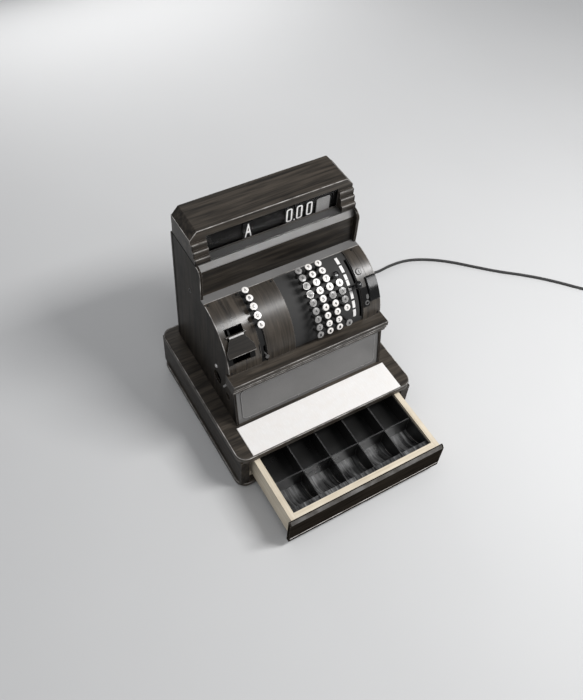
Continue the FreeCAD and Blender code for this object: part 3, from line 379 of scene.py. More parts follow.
LEVER_GREY = enamel("lever_grey", 0.11, (0.42, 0.58), shine=0.35)
GUARD_BLACK = enamel("guard_black", 0.008, (0.5, 0.65), shine=0.1)
# Scoop paint: grey streaks are partly painted reflection
SCOOP_BLACK = scuffed("scoop_black", 0.022, 0.28)
# Light edge lines: rubbed paint and painted highlight
RUBBED_AND_HIGHLIGHT = rubbed("rubbed_paint_and_highlight", 0.07, 0.50)
BEVEL_GREY = rubbed("front_bevel_grey", 0.060, 0.150)
# Painted highlight for the drawer front's bead
BEAD_HIGHLIGHT = rubbed("front_bead_highlight", 0.22, 0.62)
# Rubbed scoop edges that are also a painted highlight
SCOOP_RUBBED_AND_HIGHLIGHT = rubbed("scoop_edge_rubbed_and_highlight", 0.05, 0.42)
WHITE_PLATE = plastic("change_plate_white", 0.80, 0.02, soiled=0.965)
KEY_WHITE = plastic("key_white_moulded", 0.80, 0.03)
KEY_GREY = plastic("key_grey_moulded", 0.26, 0.02)
KEY_BODY = plastic("key_body_black", 0.030, 0.02, (0.3, 0.5))
BLACK_PLASTIC = plastic("black_moulded", 0.006, 0.0, (0.10, 0.22))
NICKEL = metal("nickel_bright", 0.74)
SATIN = metal("satin_bright", 0.56, (0.30, 0.42))
STEEL = metal("oiled_steel", 0.42, (0.28, 0.45))
PALE_WOOD = bare_wood("pale_drawer_wood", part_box("till_walls")[1].x)
GLASS = pane("window_glass")

NODE_PAINT = {
    "case_top": CASE_WOOD,
    "case_sides": CASE_SIDE_SHADED,
    "case_back": CASE_WOOD,
    "case_bottom": TRIM_GRAIN,
    "rubber_feet": FOOT_RUBBER,
    "drawer_runners": PALE_WOOD,
    "change_plate": WHITE_PLATE,
    "drawer_front": FRONT_GRAIN,
    "drawer_box": PALE_WOOD,
    "drawer_bottom": BLACK_SHEET,
    "till_walls": BLACK_SHEET,
    "coin_scoops": SCOOP_BLACK,
    "left_side_panel": PANEL_GRAIN_SHADED,
    "right_side_panel": PANEL_GRAIN_SHADED,
    "back_panel": PANEL_GRAIN_SHADED,
    "hood_cover": HOOD_GRAIN,
    "window_glasses": GLASS,
    "window_sill": SILL_GREY,
    "shelf_bar": SATIN,
    "upper_panel": UPPER_GRAIN_SHADED,
    "keyboard_strip": STRIP_GREY,
    "left_key_cover": COVER_GRAIN,
    "centre_key_cover": DULL_GRAIN,
    "right_key_cover": RIGHT_GRAIN,
    "key_plate": PLATE_GREY,
    "control_lever": BLACK_PLASTIC,
    "receipt_lever": LEVER_GREY,
    "motor_bar": BLACK_PLASTIC,
    "lock_plug": LOCK_METAL,
    "receipt_lid": LID_GRAIN,
    "front_ledge": HOOD_GRAIN,
    "front_panel": GREY,
    "machine_frames": FRAME_BLACK,
    "lever_shaft": STEEL,
    "flag_tablet": FLAG_GREY,
    "main_drive": STEEL,
    "motor_pinion": STEEL,
    "motor": MOTOR_PAINT,
    "strain_relief": RUBBER,
    "plug": BLACK_PLASTIC,
}


def paint_nodes():
    for name, node in frame["nodes"].items():
        # Key bodies are black: dark stems, and the caps' sides darkened as painted shade
        if name.startswith(("key_row", "clerk_key")):
            material = KEY_BODY
        else:
            material = NODE_PAINT.get(name, TABLET_BLACK)
        node.data.materials.clear()
        node.data.materials.append(material)


# Pieces and the shapes they are made of
def piece(name, bm, material, body):
    """A new mesh object, at its place at rest, that rides on a body."""
    bmesh.ops.recalc_face_normals(bm, faces=bm.faces)
    mesh = bpy.data.meshes.new(name)
    bm.to_mesh(mesh)
    bm.free()
    mesh.materials.append(material)
    obj = bpy.data.objects.new(name, mesh)
    bpy.context.scene.collection.objects.link(obj)
    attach(obj, body)
    return obj


def smooth(obj, degrees=35.0):
    obj.data.shade_smooth()
    obj.data.set_sharp_from_angle(angle=math.radians(degrees))


# Angles on the keyboard run from straight up towards the front
def on_keyboard(x, angle, radius):
    """Matrix of a place on the keyboard: x to the right, y up along it, z outwards."""
    a = math.radians(angle)
    up = Vector((0, math.cos(a), math.sin(a)))
    out = Vector((0, -math.sin(a), math.cos(a)))
    turn = Matrix((RIGHT, up, out)).transposed().to_4x4()
    return Matrix.Translation(Vector((x, AXIS.y, AXIS.z)) + out * radius) @ turn


def facing(place, out, up):
    """Matrix of a place on a flat face: x to the right of up, z outwards."""
    out = Vector(out).normalized()
    up = Vector(up).normalized()
    turn = Matrix((up.cross(out), up, out)).transposed().to_4x4()
    return Matrix.Translation(Vector(place)) @ turn


def raised(matrix, height):
    return matrix @ Matrix.Translation((0, 0, height))


def turned(radius, share, height):
    """Point round local z, at a share of the whole turn."""
    a = 2 * math.pi * share
    return Vector((radius * math.cos(a), radius * math.sin(a), height))


def level_row(bm, matrix, outline, height):
    return [bm.verts.new(matrix @ Vector((x, y, height))) for x, y in outline]


def join_rows(bm, rows, closed=False, floor=True):
    """Faces between rows of points; unless closed, the last row is capped, and the first with floor."""
    for low, high in zip(rows, rows[1:] + (rows[:1] if closed else [])):
        for n in range(len(low)):
            m = (n + 1) % len(low)
            bm.faces.new([low[n], low[m], high[m], high[n]])
    if not closed:
        bm.faces.new(rows[-1])
        if floor:
            bm.faces.new(list(reversed(rows[0])))


def add_lathe(bm, matrix, profile, segments=32):
    """Revolves (radius, height) pairs about local z; a radius of 0 closes the form."""
    rings = []
    for radius, height in profile:
        count = segments if radius else 1
        places = [turned(radius, n / segments, height) for n in range(count)]
        rings.append([bm.verts.new(matrix @ place) for place in places])
    for low, high in zip(rings, rings[1:]):
        for n in range(segments):
            m = (n + 1) % segments
            corners = [low[n % len(low)], low[m % len(low)], high[m % len(high)], high[n % len(high)]]
            bm.faces.new(list(dict.fromkeys(corners)))


def add_ring(bm, matrix, radius, tube, segments=32, sides=8):
    """A torus lying flat on local xy."""
    loops = []
    for n in range(segments):
        round_tube = [turned(tube, k / sides, 0) for k in range(sides)]
        places = [turned(radius + p.x, n / segments, p.y) for p in round_tube]
        loops.append([bm.verts.new(matrix @ place) for place in places])
    join_rows(bm, loops, closed=True)


def round_outline(width, height, corner, steps=4):
    """Points of a rectangle with round corners, centred on the origin."""
    outline = []
    for sx, sy, start in ((1, 1, 0), (-1, 1, 90), (-1, -1, 180), (1, -1, 270)):
        for n in range(steps + 1 if corner else 1):
            a = math.radians(start + (90 * n / steps if corner else 45))
            x = sx * (width / 2 - corner) + corner * math.cos(a)
            y = sy * (height / 2 - corner) + corner * math.sin(a)
            outline.append((x, y))
    return outline


def add_slab(bm, matrix, width, height, low, high, corner=0.0):
    """A plate with round corners on local xy, from one local height to another."""
    outline = round_outline(width, height, corner)
    join_rows(bm, [level_row(bm, matrix, outline, z) for z in (low, high)])


def add_line(bm, points, normal, half, closed=False):
    """A thin square bar along points that lie in the plane of the normal."""
    count = len(points)
    rows = []
    for n, place in enumerate(points):
        before = points[n - 1] if n or closed else place
        after = points[(n + 1) % count] if n + 1 < count or closed else place
        side = (after - before).normalized().cross(normal)
        corners = ((-half, -half), (half, -half), (half, half), (-half, half))
        rows.append([bm.verts.new(place + side * a + normal * b) for a, b in corners])
    join_rows(bm, rows, closed)


def add_curved_strip(bm, x0, x1, a0, a1, r0, r1, steps=10):
    """A strip that follows the keyboard's round from one angle to another."""
    corners = ((x0, r0), (x1, r0), (x1, r1), (x0, r1))
    rows = []
    for n in range(steps + 1):
        a = a0 + (a1 - a0) * n / steps
        rows.append([bm.verts.new(on_keyboard(x, a, r).translation) for x, r in corners])
    join_rows(bm, rows)


def add_screw(bm, matrix, radius):
    """Slotted screw head: two domed halves on a disc."""
    slot = radius * 0.16
    rise = radius * 0.45
    disc = radius * 0.98
    disc_top = rise * 0.3
    edge = rise * 0.5
    dome = 0.8
    add_lathe(bm, matrix, [(disc, 0.0), (disc, disc_top), (0, disc_top)], 24)
    for side in (-1, 1):
        rim = []
        for n in range(13):
            a = math.radians(-90 + 180 * n / 12)
            rim.append((side * max(radius * math.cos(a), slot), side * radius * math.sin(a)))
        crown = [(side * max(abs(x) * dome, slot), y * dome) for x, y in rim]
        levels = ((rim, 0), (rim, edge), (crown, rise))
        rows = [level_row(bm, matrix, outline, height) for outline, height in levels]
        join_rows(bm, rows, floor=False)


# Numerals and letters: how far they stand proud of what they are printed on
MARK_THICK = 0.00015


def glyph(text, width, height, weight):
    """Mesh of a generic numeral or letter that fills a box centred on local xy."""
    curve = bpy.data.curves.new("glyph", "FONT")
    curve.body = text
    curve.resolution_u = 3
    curve.offset = weight
    holder = bpy.data.objects.new("glyph", curve)
    bpy.context.scene.collection.objects.link(holder)
    bpy.context.view_layer.update()
    flat = bpy.data.meshes.new_from_object(holder.evaluated_get(bpy.context.evaluated_depsgraph_get()))
    bpy.data.objects.remove(holder)
    bpy.data.curves.remove(curve)
    xs = [v.co.x for v in flat.vertices]
    ys = [v.co.y for v in flat.vertices]
    scale = (width / (max(xs) - min(xs)), height / (max(ys) - min(ys)), 1)
    middle = Vector(((max(xs) + min(xs)) / 2, (max(ys) + min(ys)) / 2, 0))
    shape = bmesh.new()
    shape.from_mesh(flat)
    bpy.data.meshes.remove(flat)
    bmesh.ops.remove_doubles(shape, verts=shape.verts, dist=1e-6)
    bmesh.ops.translate(shape, verts=shape.verts, vec=-middle)
    bmesh.ops.scale(shape, verts=shape.verts, vec=scale)
    solid = bmesh.ops.extrude_face_region(shape, geom=shape.faces[:])
    top = [v for v in solid["geom"] if isinstance(v, bmesh.types.BMVert)]
    bmesh.ops.translate(shape, verts=top, vec=(0, 0, MARK_THICK))
    return shape


def add_glyph(bm, matrix, text, width, height, weight):
    shape = glyph(text, width, height, weight)
    moved = {v: bm.verts.new(matrix @ v.co) for v in shape.verts}
    for face in shape.faces:
        bm.faces.new([moved[v] for v in face.verts])
    shape.free()


# Cord and its tie: the route's points are those of the solids, then come the coil's turns and the tail
CORD_DIAMETER = 0.007
CORD_REST = 0.0036
CORD_EXIT = (0.140, 0.305, 0.052)
CORD_ROUTE = [
    (0.140, 0.333, 0.052),
    (0.150, 0.359, 0.028),
    (0.176, 0.379, 0.007),
    (0.212, 0.382, CORD_REST),
    (0.256, 0.357, CORD_REST),
    (0.300, 0.317, CORD_REST),
    (0.348, 0.287, CORD_REST),
    (0.404, 0.277, CORD_REST),
    (0.452, 0.283, CORD_REST),
    (0.504, 0.278, CORD_REST),
    (0.556, 0.254, CORD_REST),
    (0.606, 0.218, CORD_REST),
    (0.652, 0.174, CORD_REST),
    (0.702, 0.128, CORD_REST),
    (0.758, 0.085, CORD_REST),
    (0.812, 0.035, CORD_REST),
]
COIL_START = Vector((0.912, -0.070, CORD_REST))
COIL_HEADING = math.radians(-43.0)
COIL_LEAD_IN = 0.055
COIL_LEAD = 0.0105
COIL_TURNS = 4.0
COIL_PITCH = 0.0077
COIL_CLIMB = 0.5
COIL_OUT = 0.046
COIL_TAIL = 0.032
COIL_STEPS = 16
COIL_AHEAD = Vector((math.cos(COIL_HEADING), math.sin(COIL_HEADING), 0))
COIL_SIDE = Vector((-COIL_AHEAD.y, COIL_AHEAD.x, 0))
COIL_CENTRE = COIL_START + COIL_AHEAD * COIL_LEAD + COIL_SIDE * COIL_OUT
TIE_WIDTH = 0.010
TIE_THICK = 0.0007
TIE_BEND = 0.004
TIE_INSIDE = 0.0009
TIE_OUTSIDE = 0.0004
TIE_OVER = 0.0006
TIE_FOOT = 0.00008
TIE_LEAST = 0.00005


def coil_point(turns):
    """Control point of the coil's spline, moved out so that the curve itself has the radius."""
    middle = COIL_TURNS / 2
    radius = COIL_OUT - COIL_PITCH * (middle - abs(turns - middle))
    radius /= math.cos(math.pi / COIL_STEPS)
    share = min(max((turns - middle) / COIL_CLIMB + 0.5, 0.0), 1.0)
    rise = COIL_PITCH * (1 - math.cos(math.pi * share)) / 2
    angle = COIL_HEADING - math.pi / 2 + 2 * math.pi * turns
    return COIL_CENTRE + Vector((radius * math.cos(angle), radius * math.sin(angle), rise))


def cord_points():
    route = [Vector(CORD_EXIT)] + [Vector(p) for p in CORD_ROUTE]
    route += [COIL_START - COIL_AHEAD * COIL_LEAD_IN, COIL_START]
    route += [coil_point((n + 0.5) / COIL_STEPS) for n in range(int(COIL_TURNS * COIL_STEPS))]
    top = COIL_START + COIL_AHEAD * COIL_LEAD + UP * COIL_PITCH
    return route + [top + COIL_AHEAD * COIL_TAIL * 0.5, top + COIL_AHEAD * COIL_TAIL]


def build_cord():
    curve = bpy.data.curves.new("mains_cord", "CURVE")
    curve.dimensions = "3D"
    curve.bevel_depth = CORD_DIAMETER / 2
    curve.bevel_resolution = 3
    curve.resolution_u = 6
    points = cord_points()
    spline = curve.splines.new("NURBS")
    spline.points.add(len(points) - 1)
    for slot, place in zip(spline.points, points):
        slot.co = (*place, 1.0)
    spline.order_u = 3
    spline.use_endpoint_u = True
    cord = bpy.data.objects.new("mains_cord", curve)
    bpy.context.scene.collection.objects.link(cord)
    curve.materials.append(RUBBER)
    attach(cord, CABINET)
    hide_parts("cord_free", "cord_coil")


def build_tie():
    """Strap that ties the coil: a thin band over the turns, open on the floor."""
    inner = COIL_OUT - COIL_PITCH * COIL_TURNS / 2 - CORD_DIAMETER / 2 - TIE_INSIDE
    outer = COIL_OUT + CORD_DIAMETER / 2 + TIE_OUTSIDE
    low_bend = 2 * CORD_REST + COIL_PITCH + TIE_OVER - TIE_BEND
    path = [(inner, TIE_FOOT), (inner, low_bend)]
    for a in (0.4, 0.8, 1.2):
        path.append((inner + TIE_BEND * (1 - math.cos(a)), low_bend + TIE_BEND * math.sin(a)))
    for a in (0.35, 0.75, 1.15):
        path.append((outer - TIE_BEND * (1 - math.sin(a)), low_bend + TIE_BEND * math.cos(a)))
    path += [(outer, low_bend), (outer, TIE_FOOT)]
    centre = Vector((COIL_CENTRE.x, COIL_CENTRE.y, 0))
    strap = bmesh.new()
    rows = []
    for n, (r, z) in enumerate(path):
        before = path[max(n - 1, 0)]
        after = path[min(n + 1, len(path) - 1)]
        run = Vector((after[0] - before[0], after[1] - before[1])).normalized()
        out = Vector((-run.y, run.x)) * TIE_THICK
        row = []
        for w, o in ((-1, 0), (1, 0), (1, 1), (-1, 1)):
            place = centre + COIL_SIDE * (r + out.x * o) + COIL_AHEAD * (w * TIE_WIDTH / 2)
            row.append(strap.verts.new(place + UP * max(z + out.y * o, TIE_LEAST)))
        rows.append(row)
    join_rows(strap, rows)
    smooth(piece("coil_tie", strap, BLACK_SHEET, CABINET))


# Key tops: steel rim, moulded insert and an inked legend; a black key's rim is black too
KEY_TOP = 0.1357
KEY_COLUMNS = [0.0192 + 0.023 * n for n in range(4)]
SHORT_ROWS = (1, 2, 8)
GREY_COLUMN = 1
GREY_KEYS = ((5, 3), (5, 4), (6, 4), (9, 4))
BLACK_KEYS = ((3, 4),)
KEY_COLOURS = {KEY_WHITE: "_white", KEY_GREY: "_grey", BLACK_PLASTIC: "_black"}
KEY_ROWS = 9
ROW_FIRST = 11.9
ROW_PITCH = 7.57
CLERK_X = -0.0993
CLERK_FIRST = 10.4
CLERK_PITCH = 8.0
CLERK_LETTERS = "ABCDE"
CAP_RADIUS = 0.0078
RIM_SUNK = 0.0006
RIM_RADIUS = CAP_RADIUS - RIM_SUNK
RIM_TUBE = 0.0005
INSERT = [(0.0070, -RIM_SUNK), (0.0069, 0.0002), (0.0064, 0.0005), (0, 0.00055)]
LEGEND_UP = 0.0005
LEGEND_SIZE = (0.0048, 0.0066)
LEGEND_WEIGHT = 0.02


def dress_keys(label, keys):
    """keys: (x, angle, legend, material) of each key on the label's body."""
    body = label + "_body"
    rims = bmesh.new()
    legends = bmesh.new()
    inserts = {}
    for x, angle, legend, material in keys:
        top = on_keyboard(x, angle, KEY_TOP)
        if material not in inserts:
            inserts[material] = bmesh.new()
        disc = inserts[material]
        rim = disc if material == BLACK_PLASTIC else rims
        add_ring(rim, raised(top, -RIM_SUNK), RIM_RADIUS, RIM_TUBE, 28, 6)
        add_lathe(disc, top, INSERT, 28)
        add_glyph(legends, raised(top, LEGEND_UP), legend, *LEGEND_SIZE, LEGEND_WEIGHT)
    smooth(piece(label + "_rims", rims, STEEL, body))
    for material, disc in inserts.items():
        smooth(piece(label + KEY_COLOURS[material], disc, material, body))
    piece(label + "_legends", legends, INK, body)


def build_key_tops():
    for row in range(1, KEY_ROWS + 1):
        angle = ROW_FIRST + (row - 1) * ROW_PITCH
        legend = str(KEY_ROWS + 1 - row)
        keys = []
        for column, x in enumerate(KEY_COLUMNS[:3] if row in SHORT_ROWS else KEY_COLUMNS, 1):
            material = KEY_WHITE
            if (row, column) in BLACK_KEYS:
                material = BLACK_PLASTIC
            elif column == GREY_COLUMN or (row, column) in GREY_KEYS:
                material = KEY_GREY
            keys.append((x, angle, legend, material))
        dress_keys("key_row_%d" % row, keys)
    for number, letter in enumerate(CLERK_LETTERS, 1):
        angle = CLERK_FIRST + (number - 1) * CLERK_PITCH
        dress_keys("clerk_key_%d" % number, [(CLERK_X, angle, letter, KEY_WHITE)])


# Indicator tablets: a white numeral or letter on each; the flag stays bare
NUMERAL_Z = DECK + 0.3395
NUMERAL_HEIGHT = 0.034
NUMERAL_WIDTH = 0.0140
ZERO_STROKE = 0.0034
ZERO_CORNER = 0.0052
LETTER_WIDTH = 0.0148
LETTER_WEIGHT = 0.012


def add_zero(bm, matrix):
    """An upright zero with straight sides and round corners."""
    inset = 2 * ZERO_STROKE
    outer = round_outline(NUMERAL_WIDTH, NUMERAL_HEIGHT, ZERO_CORNER, 6)
    inner = round_outline(NUMERAL_WIDTH - inset, NUMERAL_HEIGHT - inset, ZERO_CORNER - ZERO_STROKE, 6)
    walls = ((outer, 0.0), (outer, MARK_THICK), (inner, MARK_THICK), (inner, 0.0))
    join_rows(bm, [level_row(bm, matrix, outline, z) for outline, z in walls], closed=True)


def build_tablet_marks():
    for node in ("clerk_tablet", "amount_tablet_1", "amount_tablet_2", "amount_tablet_3"):
        low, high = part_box(node)
        place = facing(((low.x + high.x) / 2, low.y, NUMERAL_Z), -BACK, UP)
        mark = bmesh.new()
        if node == "clerk_tablet":
            add_glyph(mark, place, "A", LETTER_WIDTH, NUMERAL_HEIGHT, LETTER_WEIGHT)
        else:
            add_zero(mark, place)
        piece(node + "_mark", mark, NUMERAL_WHITE, node + "_body")


# Dark board behind the tablets, flutes at the right jamb and the decimal point before them
BOARD_HALF = 0.162
BOARD_GAP = 0.0018
BOARD_THICK = 0.0006
BOARD_HEIGHT = (DECK + 0.3225, DECK + 0.383)
FLUTES_X = (0.1415, 0.1445, 0.1475)
FLUTE_HEIGHT = (DECK + 0.325, DECK + 0.366)
FLUTE_WIDTH = 0.0016
FLUTE_SUNK = 0.0001
FLUTE_PROUD = 0.0035
FLUTE_CORNER = 0.0006
POINT_PROFILE = [(0.0017, -0.0004), (0.0017, 0.0002), (0, 0.0002)]
POINT_OUT = 0.0009
POINT_UP = 0.002


def build_window_inside():
    tablet_low, tablet_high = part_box("clerk_tablet")
    board = bmesh.new()

    def add_upright(x, heights, width, low, high, corner):
        place = facing((x, tablet_high.y + BOARD_GAP, sum(heights) / 2), -BACK, UP)
        add_slab(board, place, width, heights[1] - heights[0], low, high, corner)

    add_upright(0, BOARD_HEIGHT, 2 * BOARD_HALF, -BOARD_THICK, 0.0, 0.0)
    for x in FLUTES_X:
        add_upright(x, FLUTE_HEIGHT, FLUTE_WIDTH, -FLUTE_SUNK, FLUTE_PROUD, FLUTE_CORNER)
    piece("window_backing", board, TABLET_BLACK, CABINET)
    point = bmesh.new()
    x = (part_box("amount_tablet_1")[1].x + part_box("amount_tablet_2")[0].x) / 2
    z = NUMERAL_Z - NUMERAL_HEIGHT / 2 + POINT_UP
    place = facing((x, tablet_low.y - POINT_OUT, z), -BACK, UP)
    add_lathe(point, place, POINT_PROFILE, 20)
    piece("decimal_point", point, NUMERAL_WHITE, CABINET)


# Trim on the keyboard: x or (x, angle) of each, strips as x from, x to, angle from, angle to
TRIM_SUNK = 0.0002
TAB_X = (0.1138, 0.1204)
TAB_ANGLES = [(7.6, 15.7), (17.9, 26.0), (28.5, 34.4), (35.0, 41.1)]
TAB_ANGLES += [(43.2, 46.6), (47.5, 56.0), (58.5, 66.7), (69.0, 77.8)]
TAB_PROUD = 0.0012
LOCK_RING = 0.0074
LOCK_HOLE = 0.0057
LOCK_PROUD = 0.0012
LOCK_LIP = LOCK_HOLE + 0.0004
COLLAR = [(LOCK_HOLE, 0.0), (LOCK_RING, 0.0), (LOCK_RING, 0.0004), (LOCK_RING - 0.0005, LOCK_PROUD)]
COLLAR += [(LOCK_LIP, LOCK_PROUD), (LOCK_HOLE, 0.0008), (LOCK_HOLE, 0.0)]
GROOVE_UP = 0.0011
GROOVE_TUBE = 0.0004
SMALL_LOCK = [(0.0056, 0.0), (0.0056, 0.0005), (0.0049, LOCK_PROUD), (0.0038, LOCK_PROUD)]
SMALL_LOCK += [(0.0036, 0.0008), (0, 0.0008)]
SMALL_HOLE = [(0.0030, 0.0008), (0.0030, 0.00095), (0, 0.00095)]
SECOND_LOCK = (0.1485, 66.6)
TEARDROP = (0.1508, 59.6)
TEARDROP_SIZE = (0.0062, 0.0110)
TEARDROP_SUNK = 0.0006
TEARDROP_CORNER = 0.0030
COVER_SCREWS = [(x, 5.9) for x in (0.1578, -0.174, -0.112, -0.085, -0.034)]
COVER_SCREWS += [(x, 84.5) for x in (0.174, -0.174)]
COVER_SEAM = (0.1606, 0.1612, 6.7, 38.0)
COVER_SLIT = (-0.1092, -0.1068, 62.6, 73.5)
GUARD = (0.1384, 0.1545, 48.5, 71.0)
GUARD_PROUD = 0.0005
OUTLET = (-0.1683, -0.1292)
# Painted shade under the receipt lid: angles of its black strips and how far they stand proud
SHADE_STRIP_ANGLES = (64.0, 73.6)
SHADE_STRIP_PROUD = 0.0006
HINGE_STRIP = (-0.1645, -0.1330)
HINGE_WIDTH = 0.0036
HINGE_OUT = 0.0025
HINGE_DOWN = 0.0022
HINGE_PROUD = 0.0005
LID_ANGLE = 43.5
LID_FACE = 0.1181
LID_LENGTH = 0.041

# Trim on the leaning front panel, the left side (y, z of each) and the back
PANEL_RUN = (0.018, 0.102)
PANEL_LEAN = math.atan2(*PANEL_RUN)
PANEL_TALL = math.hypot(*PANEL_RUN)
PANEL_TOE = Vector((0, -0.030, DECK))
PANEL_OUT = Vector((0, -math.cos(PANEL_LEAN), math.sin(PANEL_LEAN)))
PANEL_UP = Vector((0, math.sin(PANEL_LEAN), math.cos(PANEL_LEAN)))
PANEL_SCREWS_X = (-0.1475, -0.028, 0.1385)
FIELD_MARGIN = 0.011
FIELD_CORNER = 0.009
FIELD_PROUD = 0.0015
FIELD_LINE = 0.0004
SIDE_LOCK = (0.170, 0.342)
SIDE_KNOB = (0.0578, 0.2229)
KNOB_PROFILE = [(0.0044, 0.0), (0.0044, 0.0012), (0.0038, 0.0024), (0.0022, 0.0032), (0, 0.0035)]
SIDE_SPRING = (0.0205, 0.1995)
SPRING_LEAN = (0, -0.486, 0.874)
SPRING_SLAB = (0.0042, 0.029, 0.0, 0.0012, 0.0018)
SPRING_LUG = (0.0034, 0.0034, 0.001, 0.0026, 0.0015)
SPRING_LUG_UP = 0.0125
BACK_INSET = 0.016
COVER_SCREW = 0.0024
PANEL_SCREW = 0.0022
BACK_SCREW = 0.0028
SCREW_SMOOTH = 25.0


def build_tabs():
    tabs = bmesh.new()
    for a0, a1 in TAB_ANGLES:
        add_curved_strip(tabs, *TAB_X, a0, a1, PLATE_RADIUS - TRIM_SUNK, PLATE_RADIUS + TAB_PROUD, 5)
    piece("label_tabs", tabs, LABEL_WHITE, CABINET)


def build_locks():
    rings = bmesh.new()
    dark = bmesh.new()
    lock_angle = math.degrees(math.atan2(AXIS.y - LOCK_AT.y, LOCK_AT.z - AXIS.z))
    lock = on_keyboard(LOCK_AT.x, lock_angle, COVER_RADIUS)
    add_lathe(rings, lock, COLLAR)
    add_ring(dark, raised(lock, GROOVE_UP), LOCK_LIP, GROOVE_TUBE)
    second = on_keyboard(*SECOND_LOCK, COVER_RADIUS)
    side = facing((BODY_LEFT, *SIDE_LOCK), -RIGHT, UP)
    for place in (second, side):
        add_lathe(rings, place, SMALL_LOCK)
        add_lathe(dark, place, SMALL_HOLE, 20)
    teardrop = on_keyboard(*TEARDROP, COVER_RADIUS)
    add_slab(rings, teardrop, *TEARDROP_SIZE, -TEARDROP_SUNK, LOCK_PROUD, TEARDROP_CORNER)
    smooth(piece("lock_faces", rings, LEVER_GREY, CABINET))
    piece("lock_slots", dark, TABLET_BLACK, CABINET)


def build_field_line():
    """Light line round the raised field of the leaning front panel: rubbed paint and a painted
    highlight on the field's edge.
    """
    low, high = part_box("front_panel")
    width = high.x - low.x - 2 * FIELD_MARGIN
    outline = round_outline(width, PANEL_TALL - 2 * FIELD_MARGIN, FIELD_CORNER, 6)
    middle = PANEL_TOE + PANEL_UP * PANEL_TALL / 2 + PANEL_OUT * FIELD_PROUD
    line = bmesh.new()
    add_line(line, [middle + RIGHT * x + PANEL_UP * v for x, v in outline], PANEL_OUT, FIELD_LINE, True)
    piece("field_line", line, FIELD_EDGE_HIGHLIGHT, CABINET)


def build_screws():
    heads = bmesh.new()
    for x, angle in COVER_SCREWS:
        add_screw(heads, on_keyboard(x, angle, COVER_RADIUS), COVER_SCREW)
    smooth(piece("cover_screws", heads, FRAME_BLACK, CABINET), SCREW_SMOOTH)
    heads = bmesh.new()
    for x in PANEL_SCREWS_X:
        place = PANEL_TOE + RIGHT * x + PANEL_UP * FIELD_MARGIN / 2
        add_screw(heads, facing(place, PANEL_OUT, PANEL_UP), PANEL_SCREW)
    low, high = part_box("back_panel")
    for x in (low.x + BACK_INSET, 0.0, high.x - BACK_INSET):
        for z in (low.z + BACK_INSET, high.z - 2 * BACK_INSET):
            add_screw(heads, facing((x, high.y, z), BACK, UP), BACK_SCREW)
    smooth(piece("screw_heads", heads, NICKEL, CABINET), SCREW_SMOOTH)


def build_side_knob():
    knob = bmesh.new()
    add_lathe(knob, facing((BODY_LEFT, *SIDE_KNOB), -RIGHT, UP), KNOB_PROFILE)
    smooth(piece("side_knob", knob, SATIN, CABINET))
    spring = bmesh.new()
    place = facing((BODY_LEFT, *SIDE_SPRING), -RIGHT, SPRING_LEAN)
    add_slab(spring, place, *SPRING_SLAB)
    add_slab(spring, place @ Matrix.Translation((0, SPRING_LUG_UP, 0)), *SPRING_LUG)
    piece("side_spring", spring, LOCK_METAL, CABINET)


def build_outlet_shade_strips():
    """Black strips on the cover beside the slip outlet, under the lid's lower edge: painted shade of
    the lid.
    """
    low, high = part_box("receipt_lid")
    radii = (COVER_RADIUS - TRIM_SUNK, COVER_RADIUS + SHADE_STRIP_PROUD)
    shade_strip = bmesh.new()
    for x0, x1 in ((low.x, OUTLET[0]), (OUTLET[1], high.x)):
        add_curved_strip(shade_strip, x0, x1, *SHADE_STRIP_ANGLES, *radii)
    piece("outlet_painted_shade", shade_strip, TABLET_BLACK, CABINET)


def build_guard():
    """Thin black plate on the cover between the lever slot and the motor bar."""
    guard = bmesh.new()
    add_curved_strip(guard, *GUARD, COVER_RADIUS - TRIM_SUNK, COVER_RADIUS + GUARD_PROUD)
    piece("lever_guard", guard, GUARD_BLACK, CABINET)


def build_hinge_strip():
    """Bright satin strip along the lid's hinge barrel: a painted highlight on the barrel."""
    angle = math.atan2(AXIS.y - LID_AT.y, LID_AT.z - AXIS.z)
    out = Vector((0, -math.sin(angle), math.cos(angle)))
    down = Vector((0, -math.cos(angle), -math.sin(angle)))
    left, right = HINGE_STRIP
    middle = Vector(((left + right) / 2, LID_AT.y, LID_AT.z))
    strip = bmesh.new()
    place = facing(middle + out * HINGE_OUT + down * HINGE_DOWN, out, -down)
    add_slab(strip, place, right - left, HINGE_WIDTH, -TRIM_SUNK, HINGE_PROUD)
    piece("hinge_highlight_strip", strip, SATIN, LID)


# Seams, and light lines on edges (rubbed paint and painted highlight): sizes of the solids that they
# follow, then of the lines
FRONT_BEVEL = 0.006
FRONT_END = 0.003
BEAD_RISE = 0.010
BEAD_DEPTH = 0.002
TILL_BAYS = 5
TILL_WALL = 0.002
SCOOP_RIM = 0.015
SCOOP_RADIUS = 0.042
SLAB_CORNER = 0.024
SLAB_ROUND = 0.005
BOARD_ROUND = 0.0035
HOOD_FRONT = 0.159
HOOD_BEVEL = (0.015, 0.018)
HOOD_ROUND = 0.003
HOOD_END = 0.001
RIB_COUNT = 3
RIB_RISE = 0.0135
RIB_STEP = 0.0065
RIB_INSET_SHARE = 0.006
RIB_BEVEL = 0.0025
RIB_LENGTH = 0.0325
CHEEK_FRONT = 0.121
CHEEK_ROUND = 0.016
LEDGE_STEP = 0.003
ROUND_INSET = 1 - math.sqrt(0.5)
LINE_SUNK = 0.0002
LINE_PROUD = 0.00025
LINE_HALF = 0.0006
LINE_MIDDLE = LINE_HALF * 0.8
LINE_FINE = LINE_HALF * 0.7
LINE_FINEST = LINE_HALF * 0.6
SEAM_HALF = 0.0005
SEAM_SUNK = 0.0004
SEAM_PROUD = 0.00012
SEAM_FOOT = 0.001


